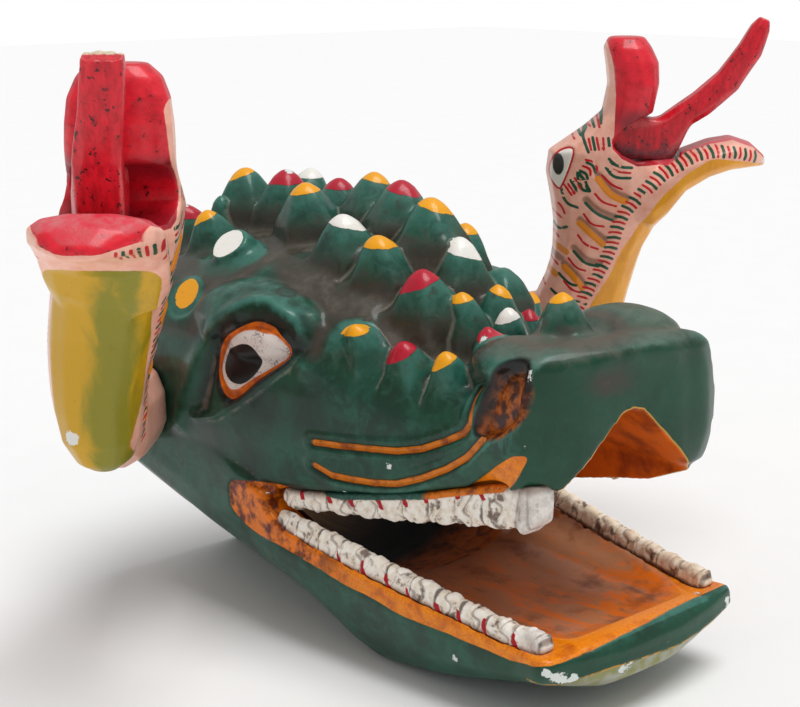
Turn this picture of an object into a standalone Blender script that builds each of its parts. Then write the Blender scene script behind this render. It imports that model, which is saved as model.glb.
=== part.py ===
"""Carved caiman dance mask with an open-mouthed snake on each side.

One hollow block of light wood makes the caiman's head: brows, spiked crown, snout and both jaws.
The mouth opens through to the hollow for the wearer's face. Tooth strips sit in ledges along the
lips, and a carved snake is dowelled to each side of the head. The mask faces -Y, up is +Z, and x = 0
is its mirror plane. "Right" is the caiman's own right side, at -X.
"""
import math
from types import SimpleNamespace

import bmesh
import bpy
from mathutils import Vector

MM = 0.001

# Driving dimensions in millimetres
GAP = 0.3
BACK_Y = 205.0
NOSE_SKEW = -0.18
NOSE_BACK_Y = -135.0
LIP_THICKNESS = 13.0
SPIKE_SIDES = 5
SPIKE_DEPTH = 62.0
SPIKE_SPLAY = 0.55
SPIKE_TURN = 11.0
PEG_DIAMETER = 18.0
PEG_LENGTH = 50.0
PEG_CENTRE = (139.0, 155.0, 152.0)
SNAKE_X = 232.0
SNAKE_Y = 3.0
SNAKE_TURN = 43.0
TRIM_REACH = 300.0
SIDES = ((-1, "right"), (1, "left"))

FINISHES = {
    "painted_green": ((0.035, 0.12, 0.09), 0.42, 0.0),
    "painted_teeth": ((0.62, 0.56, 0.46), 0.5, 0.0),
    "painted_pink": ((0.82, 0.46, 0.36), 0.4, 0.0),
    "painted_red": ((0.62, 0.02, 0.04), 0.38, 0.0),
    "bare_wood": ((0.45, 0.3, 0.17), 0.75, 0.0),
}


def table(columns, *rows):
    """Rows with named columns; the first column is where the row stands."""
    names = columns.split()
    return [SimpleNamespace(**dict(zip(names, row))) for row in rows]


def between(rows, key, place):
    """The row at a place between two rows, every column on a smooth curve through the table."""
    spots = [getattr(row, key) for row in rows]
    rising = spots[-1] > spots[0]
    last = len(rows) - 2
    seg = 0
    while seg < last and (place > spots[seg + 1]) == rising and place != spots[seg + 1]:
        seg += 1
    t = (place - spots[seg]) / (spots[seg + 1] - spots[seg])
    before, after = max(seg - 1, 0), min(seg + 2, len(rows) - 1)
    out = {}
    for name in vars(rows[0]):
        v0, v1, v2, v3 = (getattr(rows[i], name) for i in (before, seg, seg + 1, after))
        m1, m2 = (v2 - v0) / 2, (v3 - v1) / 2
        if (v2 - v1) * (v1 - v0) <= 0:
            m1 = 0
        if (v3 - v2) * (v2 - v1) <= 0:
            m2 = 0
        h = t * t * (3 - 2 * t)
        out[name] = v1 + (v2 - v1) * h + m1 * t * (1 - t) ** 2 - m2 * t * t * (1 - t)
    out[key] = place
    return SimpleNamespace(**out)


def stations(rows, key, step):
    """Rows at about every step along the table, the table's own places among them."""
    out = []
    for a, b in zip(rows, rows[1:]):
        start, stop = getattr(a, key), getattr(b, key)
        pieces = max(1, round(abs(stop - start) / step))
        for i in range(pieces):
            out.append(between(rows, key, start + (stop - start) * i / pieces))
    return out + [rows[-1]]


def material(name):
    found = bpy.data.materials.get(name)
    if found:
        return found
    color, roughness, metallic = FINISHES[name]
    mat = bpy.data.materials.new(name)
    mat.use_nodes = True
    shader = mat.node_tree.nodes["Principled BSDF"]
    shader.inputs["Base Color"].default_value = (*color, 1)
    shader.inputs["Roughness"].default_value = roughness
    shader.inputs["Metallic"].default_value = metallic
    mat.diffuse_color = (*color, 1)
    return mat


def add_object(name, bm, finish=None):
    """An object from a mesh in millimetres, closed and facing out; without a finish it is a cutter."""
    bmesh.ops.recalc_face_normals(bm, faces=bm.faces)
    bmesh.ops.scale(bm, vec=(MM, MM, MM), verts=bm.verts)
    mesh = bpy.data.meshes.new(name)
    bm.to_mesh(mesh)
    bm.free()
    obj = bpy.data.objects.new(name, mesh)
    bpy.context.scene.collection.objects.link(obj)
    if finish:
        mesh.materials.append(material(finish))
    else:
        obj.hide_render = True
        obj.display_type = "WIRE"
    return obj


def loft(rings, mirrored=False):
    """A closed solid through rings of points. The ends of mirrored rings are filled with level strips."""
    bm = bmesh.new()
    made = [[bm.verts.new(p) for p in ring] for ring in rings]
    count = len(made[0])
    for low, high in zip(made, made[1:]):
        for i in range(count):
            j = (i + 1) % count
            bm.faces.new((low[i], low[j], high[j], high[i]))
    for ring in (made[0], made[-1]):
        if mirrored:
            fill_strips(bm, ring)
        else:
            bm.faces.new(ring)
    return bm


def fill_strips(bm, ring):
    """Fills a ring that starts on its mirror plane with strips from side to side, so that no face folds."""
    middle = len(ring) // 2
    bm.faces.new((ring[0], ring[1], ring[-1]))
    for i in range(1, middle - 1):
        bm.faces.new((ring[i], ring[i + 1], ring[-i - 1], ring[-i]))
    bm.faces.new((ring[middle - 1], ring[middle], ring[middle + 1]))


def mirrored_ring(half):
    """A whole ring from the points of one half, which starts and ends on the mirror plane."""
    return half + [(-x, y, z) for x, y, z in reversed(half[1:-1])]


def corner_curve(power, steps):
    """Points of a quarter of a rounded square, from the top (0, 1) to the side (1, 0)."""
    angles = [math.pi / 2 * i / steps for i in range(steps + 1)]
    return [(max(math.sin(a), 0) ** (2 / power), max(math.cos(a), 0) ** (2 / power)) for a in angles]


def boolean(obj, other, operation):
    mod = obj.modifiers.new(f"{operation.lower()} {other.name}", "BOOLEAN")
    mod.operation = operation
    mod.solver = "EXACT"
    if isinstance(other, bpy.types.Collection):
        mod.operand_type = "COLLECTION"
        mod.collection = other
    else:
        mod.object = other


# The head above the mouth: brow, crown and snout; wall is the lower edge of the lip behind the teeth
UPPER = table(
    "y top wide z_wide round lip z_lip wall",
    (BACK_Y + 9, 258, 129, 180, 2.4, 116, 108, 105),
    (150, 267, 130, 186, 2.4, 114, 98, 95),
    (80, 270, 127, 190, 2.4, 112, 98, 94),
    (50, 269, 122, 188, 2.3, 109, 102, 96),
    (10, 265, 112, 184, 2.2, 103, 107, 98),
    (-30, 253, 99, 176, 2.1, 95, 113, 101),
    (-70, 224, 87, 170, 2.1, 86, 120, 106),
    (-105, 213, 79, 170, 2.2, 80, 129, 112),
    (NOSE_BACK_Y, 219, 76, 180, 2.5, 76, 139, 120),
    (-160, 231, 79, 188, 3.0, 75, 147, 128),
    (-182, 240, 81, 194, 3.4, 76, 146, 138),
    (-192, 239, 79, 194, 3.4, 74, 147, 142),
    (-199, 237, 64, 194, 3.0, 60, 149, 144),
    (-204, 235, 40, 194, 2.6, 38, 151, 146),
)

# The lower jaw, which runs back under the face as the chin
LOWER = table(
    "y rim z_rim side z_side keel z_keel",
    (BACK_Y + 14, 117, 161, 126, 103, 14, 0),
    (150, 120, 150, 120, 84, 22, 0),
    (80, 118, 128, 111, 60, 38, 0),
    (52, 117, 114, 107, 53, 44, 0),
    (36, 116, 106, 106, 48, 48, 0),
    (26, 115, 92, 105, 45, 50, 0),
    (11, 113, 84, 103, 41, 54, 0),
    (-20, 109, 77, 99, 26, 62, 0),
    (-58, 105, 71, 88, 4, 74, 0),
    (-100, 101, 65, 87, 8, 60, 0),
    (-142, 96, 61, 88, 18, 50, 5),
    (-190, 91, 56, 87, 31, 40, 15),
    (-212, 95, 57, 90, 38, 33, 20),
    (-219, 90, 56, 86, 41, 29, 24),
    (-224, 64, 52, 62, 38, 21, 27),
    (-227, 30, 48, 30, 34, 13, 29),
)

# The hollow for the face, open at the back and into the mouth; full says how square its lower half is
HOLLOW = table(
    "y half z_mid top low full",
    (BACK_Y + 15, 112, 150, 245, 30, 1.65),
    (150, 111, 150, 250, 26, 1.7),
    (90, 105, 145, 250, 24, 1.8),
    (40, 95, 130, 238, 25, 2.0),
    (0, 87, 110, 212, 31, 2.3),
    (-30, 82, 95, 185, 40, 2.6),
    (-46, 78, 88, 160, 46, 2.6),
)

# The vault of the palate, cut up through the lip and out under the nose; its walls spring at one height
VAULT_SPRING_Z = 143.0
VAULT_FLARE = 2.0
PALATE = table(
    "y half apex low",
    (-20, 64, 182, 100),
    (-60, 60, 178, 100),
    (-100, 57, 178, 104),
    (-150, 55, 190, 110),
    (-230, 55, 196, 110),
)

# The dished floor of the mouth; it rises in shares of its half width to the foot of the lower teeth
FLOOR_EDGE_Z = 62.0
FLOOR_TOP_Z = 110.0
FLOOR_RISE = ((0.45, 0.06), (0.75, 0.3), (0.93, 0.72), (1.0, 1.0))
FLOOR = table(
    "y half low",
    (-30, 92, 44),
    (-80, 86, 41),
    (-130, 80, 39),
    (-180, 74, 42),
    (-204, 64, 49),
)

# Tooth strips: along y, the strip's middle, its root on the lip and its tips
UPPER_TEETH = table(
    "y x root tip thick",
    (26, 97, 108, 92, 9),
    (-14, 92, 113, 97, 10),
    (-55, 83, 121, 101, 10),
    (-98, 77, 131, 108, 10),
    (-130, 71, 141, 114, 11),
    (-158, 66, 149, 118, 13),
    (-176, 63, 153, 121, 19),
    (-186, 62.5, 153, 123, 22),
)
LOWER_TEETH = table(
    "y x root tip thick",
    (24, 104, 79, 95, 9),
    (-29, 99, 70, 89, 10),
    (-74, 94, 65, 82, 11),
    (-124, 88, 59, 75, 12),
    (-173, 83, 54, 69, 12),
    (-206, 79, 51, 68, 13),
)
TOOTH_PITCH = 20.5
TOOTH_RINGS = 4
TOOTH_NOTCH = 3.5
TOOTH_WAIST = 1.2
TOOTH_SHOULDER = 4.0
TOOTH_TIP_INSET = 2.5
LEFT_UPPER_STOP_Y = -140.0

# A spike's levels: how far below the tip, and the share of the foot's width there
SPIKE_LEVELS = (
    (SPIKE_DEPTH, 1.1),
    (31, 0.9),
    (9, 0.38),
    (3, 0.24),
    (0, 0.09),
)

# Crown spikes: the tip's place, and how broad the cone is at its foot
SPIKES = table(
    "x y z foot",
    (-5, 191, 309, 34),
    (-31, 189, 290, 22),
    (-60, 196, 285, 32),
    (-68, 155, 286, 32),
    (-76, 112, 277, 34),
    (-113, 118, 239, 26),
    (-3, 142, 312, 33),
    (-29, 86, 310, 34),
    (-42, 29, 295, 35),
    (-42, -8, 285, 33),
    (-40, -51, 267, 34),
    (-27, -76, 254, 26),
    (-44, -117, 240, 24),
    (12, 97, 309, 31),
    (13, 58, 317, 32),
    (8, 23, 315, 34),
    (3, -13, 307, 35),
    (3, -42, 283, 32),
    (5, -78, 255, 26),
    (-17, -109, 248, 22),
    (22, -91, 238, 22),
    (-85, -34, 234, 27),
    (-71, -66, 226, 28),
    (-64, -99, 224, 26),
    (-14, -153, 264, 27),
    (36, 160, 308, 32),
    (62, 190, 285, 32),
    (74, 148, 285, 32),
    (78, 105, 277, 34),
    (113, 119, 239, 26),
    (48, 66, 298, 31),
    (51, 24, 289, 31),
    (42, -8, 284, 31),
    (39, -50, 265, 32),
    (85, -34, 232, 27),
    (73, -65, 224, 28),
    (65, -99, 222, 26),
)

# Brows and nostril mounds, each as carved: the middle of the bump and its half-sizes
BUMPS = table(
    "name x y z half_x half_y half_z",
    ("brow_right", -91, 56, 221, 40, 66, 30),
    ("brow_left", 91, 44, 211, 40, 66, 30),
    ("mound_right", -44, -152, 222, 32, 40, 16),
    ("mound_left", 42, -158, 225, 38, 42, 23),
)

# A snake's neck, skull and upper jaw in level slices: how far out it reaches (back to front), and its lean
NECK = table(
    "z back front half lean",
    (146, -56, -22, 9, -28),
    (152, -70, -12, 18, -29),
    (168, -78, -3, 26, -30),
    (190, -74, 3, 29, -30),
    (215, -63, 9, 32, -27),
    (240, -58, 16, 35, -22),
    (262, -58, 27, 36, -17),
    (282, -61, 38, 37, -12),
    (302, -65, 36, 38, -9),
    (319, -63, 22, 38, -7),
    (337, -37, 19, 35, -5),
    (350, -22, 19, 34, -4),
    (372, -18, 23, 33, -3),
    (388, -20, 22, 31, -3),
    (400, -22, 16, 26, -3),
    (408, -18, 10, 18, -4),
)
# The lower jaw of a snake in upright slices, from the throat out to the lip
SNAKE_JAW = table(
    "s top low half lean",
    (-6, 312, 262, 36, -12),
    (20, 313, 256, 38, -10),
    (45, 321, 287, 40, -8),
    (63, 328, 299, 40, -7),
    (80, 331, 305, 37, -7),
    (96, 326, 307, 27, -8),
    (107, 316, 308, 12, -9),
)
# The mouth between a snake's jaws: upright slices of the space that is cut out, through both cheeks
SNAKE_MOUTH_HALF = 60.0
SNAKE_MOUTH_LEAN = -6.0
SNAKE_MOUTH = table(
    "s low high",
    (-13, 324, 331),
    (-6, 317, 340),
    (6, 311, 349),
    (40, 314, 352),
)
# The arm that carries a snake's neck out from the head
ARM = table(
    "s z_mid half tall lean",
    (-205, 148, 27, 32, -37),
    (-150, 152, 27, 33, -36),
    (-100, 159, 27, 33, -34),
    (-62, 167, 27, 32, -31),
    (-34, 176, 24, 28, -29),
)
# Tongues: along the tongue's middle, from the root in the throat to the tip
LEFT_TONGUE = table(
    "s z half thick lean",
    (-2, 316, 15, 16, -6),
    (26, 336, 15, 19, -6),
    (56, 356, 14, 21, -6),
    (76, 374, 13, 22, -6),
    (92, 398, 12, 19, -6),
    (99, 415, 10, 15, -6),
    (102, 422, 7, 9, -6),
)
RIGHT_TONGUE = table(
    "s z half thick lean",
    (-2, 316, 18, 16, -16),
    (24, 336, 17, 18, -13),
    (42, 358, 15, 18, -9),
    (52, 384, 14, 17, -4),
    (58, 411, 13, 16, 0),
    (60, 416, 13, 15, 0),
)


def upper_ring(row, grow=0.0):
    half = []
    for u, v in corner_curve(row.round, 7):
        half.append((u * (row.wide + grow), row.z_wide + v * (row.top + grow - row.z_wide)))
    half.append(((row.wide + row.lip) / 2 + 2 + grow, (row.z_wide + row.z_lip) / 2))
    half.append((row.lip + grow, row.z_lip + 6))
    half.append((row.lip - 4 + grow, row.z_lip))
    inner = row.lip - min(LIP_THICKNESS, row.lip / 3)
    half.append((inner, row.z_lip - 0.5))
    half.append((inner - 1, row.wall - 1))
    half.append((0, row.wall - 1))
    skew = NOSE_SKEW if row.y < NOSE_BACK_Y else 0
    return [(x, y + skew * x, z) for x, y, z in mirrored_ring([(x, row.y, z) for x, z in half])]


def lower_ring(row, grow=0.0):
    half = [
        (0, row.z_rim + grow),
        (row.rim / 2, row.z_rim + grow),
        (row.rim - 3, row.z_rim + grow),
        (row.rim + grow, row.z_rim - 4),
        (row.rim + grow, row.z_rim - min(16, (row.z_rim - row.z_side) * 0.4)),
        ((row.rim * 0.4 + row.side * 0.6) + 2 + grow, row.z_side + (row.z_rim - row.z_side) * 0.28),
        (row.side - 2 + grow, row.z_side + 1),
        ((row.side + row.keel) / 2 + grow, (row.z_side + row.z_keel) / 2 - grow),
        (row.keel, row.z_keel),
        (0, row.z_keel),
    ]
    return mirrored_ring([(x, row.y, z) for x, z in half])


def oval_ring(row):
    """A slice across the hollow, fuller above its widest level than below."""
    above = corner_curve(2.3, 5)
    below = corner_curve(row.full, 5)
    half = [(u * row.half, row.y, row.z_mid + v * (row.top - row.z_mid)) for u, v in above]
    half += [(u * row.half, row.y, row.z_mid - v * (row.z_mid - row.low)) for u, v in reversed(below[:-1])]
    return mirrored_ring(half)


def vault_ring(row):
    half = [
        (0, row.y, row.apex),
        (row.half * 0.14, row.y, row.apex - VAULT_FLARE),
        (row.half * 0.6, row.y, row.apex * 0.45 + VAULT_SPRING_Z * 0.55),
        (row.half, row.y, VAULT_SPRING_Z),
        (row.half + VAULT_FLARE, row.y, row.low),
        (0, row.y, row.low),
    ]
    return mirrored_ring(half)


def dish_ring(row):
    half = [(0, row.y, row.low)]
    for share, rise in FLOOR_RISE:
        half.append((row.half * share, row.y, row.low + rise * (FLOOR_EDGE_Z - row.low)))
    half.append((row.half + 1, row.y, FLOOR_EDGE_Z + 6))
    half.append((row.half * 0.6, row.y, FLOOR_TOP_Z))
    half.append((0, row.y, FLOOR_TOP_Z))
    return mirrored_ring(half)


def spike_mesh(row):
    """A flat-sided cone with a blunt tip, splayed out from the mirror plane; its foot is sunk in the wood."""
    turn = math.radians(SPIKE_TURN * (row.x + row.y))
    splay = SPIKE_SPLAY * row.x / 100
    rings = []
    for drop, share in SPIKE_LEVELS:
        ring = []
        for i in range(SPIKE_SIDES):
            a = turn + 2 * math.pi * i / SPIKE_SIDES
            r = row.foot * share
            ring.append((row.x - splay * drop + r * math.cos(a), row.y + r * math.sin(a), row.z - drop))
        rings.append(ring)
    return loft(rings)


def box_mesh(low, high):
    bm = bmesh.new()
    bmesh.ops.create_cube(bm, size=1.0)
    bmesh.ops.scale(bm, vec=[b - a for a, b in zip(low, high)], verts=bm.verts)
    bmesh.ops.translate(bm, vec=[(a + b) / 2 for a, b in zip(low, high)], verts=bm.verts)
    return bm


def ellipsoid(centre, half):
    bm = bmesh.new()
    bmesh.ops.create_uvsphere(bm, u_segments=14, v_segments=9, radius=1.0)
    bmesh.ops.scale(bm, vec=half, verts=bm.verts)
    bmesh.ops.translate(bm, vec=centre, verts=bm.verts)
    return bm


def teeth_along(kind, side):
    """The rows of one tooth strip; the upper strip on the left stops short of the nose."""
    if kind == "lower":
        return LOWER_TEETH
    if side < 0:
        return UPPER_TEETH
    kept = [row for row in UPPER_TEETH if row.y > LEFT_UPPER_STOP_Y]
    return kept + [between(UPPER_TEETH, "y", LEFT_UPPER_STOP_Y)]


def tooth_strip(rows, side, grow=0.0):
    """A strip of teeth as one bar whose tips rise and fall with the tooth pitch."""
    length = abs(rows[-1].y - rows[0].y)
    last = round(length / TOOTH_PITCH) * TOOTH_RINGS
    rings = []
    for i in range(last + 1):
        y = rows[0].y + (rows[-1].y - rows[0].y) * i / last
        row = between(rows, "y", y)
        notch = math.sin(math.pi * (i % TOOTH_RINGS) / TOOTH_RINGS)
        up = 1 if row.tip > row.root else -1
        tip = row.tip - up * TOOTH_NOTCH * (1 - notch) + up * grow
        root = row.root - up * grow
        thick = row.thick / 2 - TOOTH_WAIST * (1 - notch) + grow
        end = 0
        if i == 0:
            end = grow
        if i == last:
            end = -grow
        shoulder = tip - up * TOOTH_SHOULDER
        flat = thick - TOOTH_TIP_INSET
        outline = [(thick, root), (thick, shoulder), (flat, tip)]
        outline += [(-across, z) for across, z in reversed(outline)]
        rings.append([(side * (row.x + across), y + end, z) for across, z in outline])
    return loft(rings)


def to_snake(side, s, lean, z):
    """A place on a snake, measured out along it, across it and up, as a place on the mask."""
    turn = math.radians(SNAKE_TURN)
    x = SNAKE_X + s * math.sin(turn) - lean * math.cos(turn)
    y = SNAKE_Y - s * math.cos(turn) - lean * math.sin(turn)
    return (side * x, y, z)


def level_ring(side, row):
    """A level slice of a snake's neck, rounder at the front than at the back."""
    middle = (row.back + row.front) / 2
    reach = (row.front - row.back) / 2
    ring = []
    for i in range(14):
        a = 2 * math.pi * i / 14
        u = math.copysign(abs(math.cos(a)) ** 0.8, math.cos(a))
        v = math.copysign(abs(math.sin(a)) ** 0.8, math.sin(a))
        ring.append(to_snake(side, middle + reach * u, row.lean + row.half * v, row.z))
    return ring


def upright_ring(side, s, low, top, half, lean, power=0.8, count=12):
    ring = []
    for i in range(count):
        a = 2 * math.pi * (i + 0.5) / count
        u = math.copysign(abs(math.cos(a)) ** power, math.cos(a))
        v = math.copysign(abs(math.sin(a)) ** power, math.sin(a))
        ring.append(to_snake(side, s, lean + half * u, (top + low) / 2 + (top - low) / 2 * v))
    return ring


def tongue_mesh(rows, side, grow=0.0):
    rings = []
    for i, row in enumerate(rows):
        a, b = rows[max(i - 1, 0)], rows[min(i + 1, len(rows) - 1)]
        run, rise = b.s - a.s, b.z - a.z
        size = math.hypot(run, rise)
        out_s, out_z = -rise / size, run / size
        half, thick = row.half + grow, row.thick / 2 + grow
        shove = -grow if i == 0 else 0
        ring = []
        for k in range(8):
            angle = 2 * math.pi * (k + 0.5) / 8
            across = math.copysign(abs(math.cos(angle)) ** 0.7, math.cos(angle)) * half
            depth = math.copysign(abs(math.sin(angle)) ** 0.7, math.sin(angle)) * thick
            s = row.s + out_s * depth + shove * run / size
            z = row.z + out_z * depth + shove * rise / size
            ring.append(to_snake(side, s, row.lean + across, z))
        rings.append(ring)
    return loft(rings)


def peg_mesh(side, grow=0.0):
    """The dowel between the head's wall and a snake's arm, lying along the arm."""
    bm = bmesh.new()
    radius = PEG_DIAMETER / 2 + grow
    depth = PEG_LENGTH + 2 * grow
    bmesh.ops.create_cone(bm, cap_ends=True, segments=16, radius1=radius, radius2=radius, depth=depth)
    turn = math.radians(SNAKE_TURN)
    axis = Vector((side * math.sin(turn), -math.cos(turn), 0))
    spin = Vector((0, 0, 1)).rotation_difference(axis).to_matrix()
    bmesh.ops.rotate(bm, cent=(0, 0, 0), matrix=spin, verts=bm.verts)
    x, y, z = PEG_CENTRE
    bmesh.ops.translate(bm, vec=(side * x, y, z), verts=bm.verts)
    return bm


def head_block(grow=0.0):
    rings = [upper_ring(row, grow) for row in stations(UPPER, "y", 18)]
    return loft(rings, mirrored=True)


def jaw_block(grow=0.0):
    return loft([lower_ring(row, grow) for row in stations(LOWER, "y", 22)], mirrored=True)


def add_bump(collection, name, bm):
    """A cutter that lies in a collection, so that one Boolean joins the whole crown."""
    bump = add_object(name, bm)
    bpy.context.scene.collection.objects.unlink(bump)
    collection.objects.link(bump)


def crown_bumps():
    """Spikes, brows and nostril mounds that stand on the head."""
    bumps = bpy.data.collections.new("crown")
    bpy.context.scene.collection.children.link(bumps)
    for i, row in enumerate(SPIKES):
        add_bump(bumps, f"crown_spike_{i + 1}", spike_mesh(row))
    for row in BUMPS:
        place, half = (row.x, row.y, row.z), (row.half_x, row.half_y, row.half_z)
        add_bump(bumps, row.name, ellipsoid(place, half))
    return bumps


def hollow_mesh():
    return loft([oval_ring(row) for row in stations(HOLLOW, "y", 30)], mirrored=True)


def build_head():
    head = add_object("caiman_head", head_block(), "painted_green")
    boolean(head, add_object("jaw_block", jaw_block()), "UNION")
    boolean(head, crown_bumps(), "UNION")
    beyond = box_mesh((-TRIM_REACH, BACK_Y, -TRIM_REACH), (TRIM_REACH, BACK_Y + TRIM_REACH, 2 * TRIM_REACH))
    boolean(head, add_object("back_trim", beyond), "DIFFERENCE")
    boolean(head, add_object("face_hollow", hollow_mesh()), "DIFFERENCE")
    vault = loft([vault_ring(row) for row in PALATE], mirrored=True)
    boolean(head, add_object("palate_vault", vault), "DIFFERENCE")
    floor = loft([dish_ring(row) for row in FLOOR], mirrored=True)
    boolean(head, add_object("mouth_floor", floor), "DIFFERENCE")
    for side, label in SIDES:
        for kind in ("upper", "lower"):
            ledge = tooth_strip(teeth_along(kind, side), side, GAP)
            boolean(head, add_object(f"{kind}_ledge_{label}", ledge), "DIFFERENCE")
        boolean(head, add_object(f"peg_hole_{label}", peg_mesh(side, GAP)), "DIFFERENCE")


def build_teeth():
    for side, label in SIDES:
        for kind in ("upper", "lower"):
            add_object(f"{kind}_teeth_{label}", tooth_strip(teeth_along(kind, side), side), "painted_teeth")


def build_snake(side, label, tongue_rows):
    """A snake with its arm, seated on the head's outer face; tongue and dowel lie in holes of their own."""
    neck = loft([level_ring(side, row) for row in stations(NECK, "z", 16)])
    snake = add_object(f"snake_{label}", neck, "painted_pink")
    jaw = [upright_ring(side, r.s, r.low, r.top, r.half, r.lean) for r in stations(SNAKE_JAW, "s", 14)]
    boolean(snake, add_object(f"snake_jaw_{label}", loft(jaw)), "UNION")
    arm = [upright_ring(side, r.s, r.z_mid - r.tall, r.z_mid + r.tall, r.half, r.lean) for r in ARM]
    boolean(snake, add_object(f"snake_arm_{label}", loft(arm)), "UNION")
    mouth = [upright_ring(side, r.s, r.low, r.high, SNAKE_MOUTH_HALF, SNAKE_MOUTH_LEAN) for r in SNAKE_MOUTH]
    boolean(snake, add_object(f"snake_mouth_{label}", loft(mouth)), "DIFFERENCE")
    boolean(snake, add_object(f"head_seat_{label}", head_block(GAP)), "DIFFERENCE")
    boolean(snake, add_object(f"jaw_seat_{label}", jaw_block(GAP)), "DIFFERENCE")
    boolean(snake, add_object(f"hollow_seat_{label}", hollow_mesh()), "DIFFERENCE")
    boolean(snake, add_object(f"tongue_seat_{label}", tongue_mesh(tongue_rows, side, GAP)), "DIFFERENCE")
    boolean(snake, add_object(f"snake_peg_hole_{label}", peg_mesh(side, GAP)), "DIFFERENCE")
    add_object(f"tongue_{label}", tongue_mesh(tongue_rows, side), "painted_red")
    add_object(f"peg_{label}", peg_mesh(side), "bare_wood")


def stand_on_origin():
    """Every piece hangs from one empty, which puts the middle of the mask's underside at the origin."""
    bpy.context.view_layer.update()
    graph = bpy.context.evaluated_depsgraph_get()
    corners = []
    pieces = [o for o in bpy.context.scene.objects if o.type == "MESH"]
    for obj in pieces:
        if not obj.hide_render:
            mesh = obj.evaluated_get(graph).to_mesh()
            corners += [v.co.copy() for v in mesh.vertices]
    low = [min(c[i] for c in corners) for i in range(3)]
    high = [max(c[i] for c in corners) for i in range(3)]
    stand = bpy.data.objects.new("mask_stand", None)
    bpy.context.scene.collection.objects.link(stand)
    stand.location = (0, -(low[1] + high[1]) / 2, -low[2])
    for obj in pieces:
        obj.parent = stand


def main():
    for obj in list(bpy.data.objects):
        bpy.data.objects.remove(obj, do_unlink=True)
    build_head()
    build_teeth()
    build_snake(-1, "right", RIGHT_TONGUE)
    build_snake(1, "left", LEFT_TONGUE)
    stand_on_origin()
    bpy.context.view_layer.update()


main()
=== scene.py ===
"""Carved and painted surfaces of the caiman dance mask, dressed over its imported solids."""
import math
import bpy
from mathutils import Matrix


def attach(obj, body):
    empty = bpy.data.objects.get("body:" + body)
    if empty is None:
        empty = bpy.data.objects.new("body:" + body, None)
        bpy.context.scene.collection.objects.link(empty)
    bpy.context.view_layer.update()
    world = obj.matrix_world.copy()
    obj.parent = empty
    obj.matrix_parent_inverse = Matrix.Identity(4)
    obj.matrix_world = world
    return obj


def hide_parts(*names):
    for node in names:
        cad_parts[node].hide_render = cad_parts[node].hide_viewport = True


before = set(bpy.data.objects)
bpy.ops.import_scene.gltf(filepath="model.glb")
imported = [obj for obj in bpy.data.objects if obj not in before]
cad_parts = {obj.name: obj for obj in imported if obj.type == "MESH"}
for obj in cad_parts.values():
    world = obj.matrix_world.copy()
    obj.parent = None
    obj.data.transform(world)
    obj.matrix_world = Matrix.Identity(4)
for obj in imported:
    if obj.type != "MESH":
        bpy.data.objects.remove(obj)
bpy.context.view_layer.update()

from types import SimpleNamespace

import bpy
import numpy as np
from bpy.props import FloatProperty, FloatVectorProperty, PointerProperty
from mathutils import Vector

bl_info = {
    "name": "Caiman dance mask",
    "version": (1, 0, 0),
    "blender": (4, 5, 0),
    "location": "3D View > Sidebar > Mask",
    "description": "Carves and paints a wooden caiman mask with two snakes over its packed solids",
    "category": "Object",
}

MM = 0.001
SIDES = {"right": -1, "left": 1}
TRIANGLES = {"head": 194000, "strip": 90000, "snake": 190000, "tongue": 90000}
TOOTH_STEP = 0.0007
TONGUE_STEP = 0.0008


def table(columns, *rows):
    """Rows with named columns; a row may stop short, and what it leaves out is 0."""
    names = columns.split()
    return [SimpleNamespace(**dict(zip(names, (*row, *[0] * (len(names) - len(row)))))) for row in rows]


def column(rows, name):
    return np.array([getattr(row, name) for row in rows], float)


def paint(r, g, b):
    """A paint as its red, green and blue shares from 0 to 255, turned into light."""
    return tuple((v / 255) ** 2.2 for v in (r, g, b))


PAINTS = {
    "yellow": paint(246, 168, 24),
    "crimson": paint(186, 30, 52),
    "white": paint(244, 242, 234),
    "green": paint(60, 118, 102),
}

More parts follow.
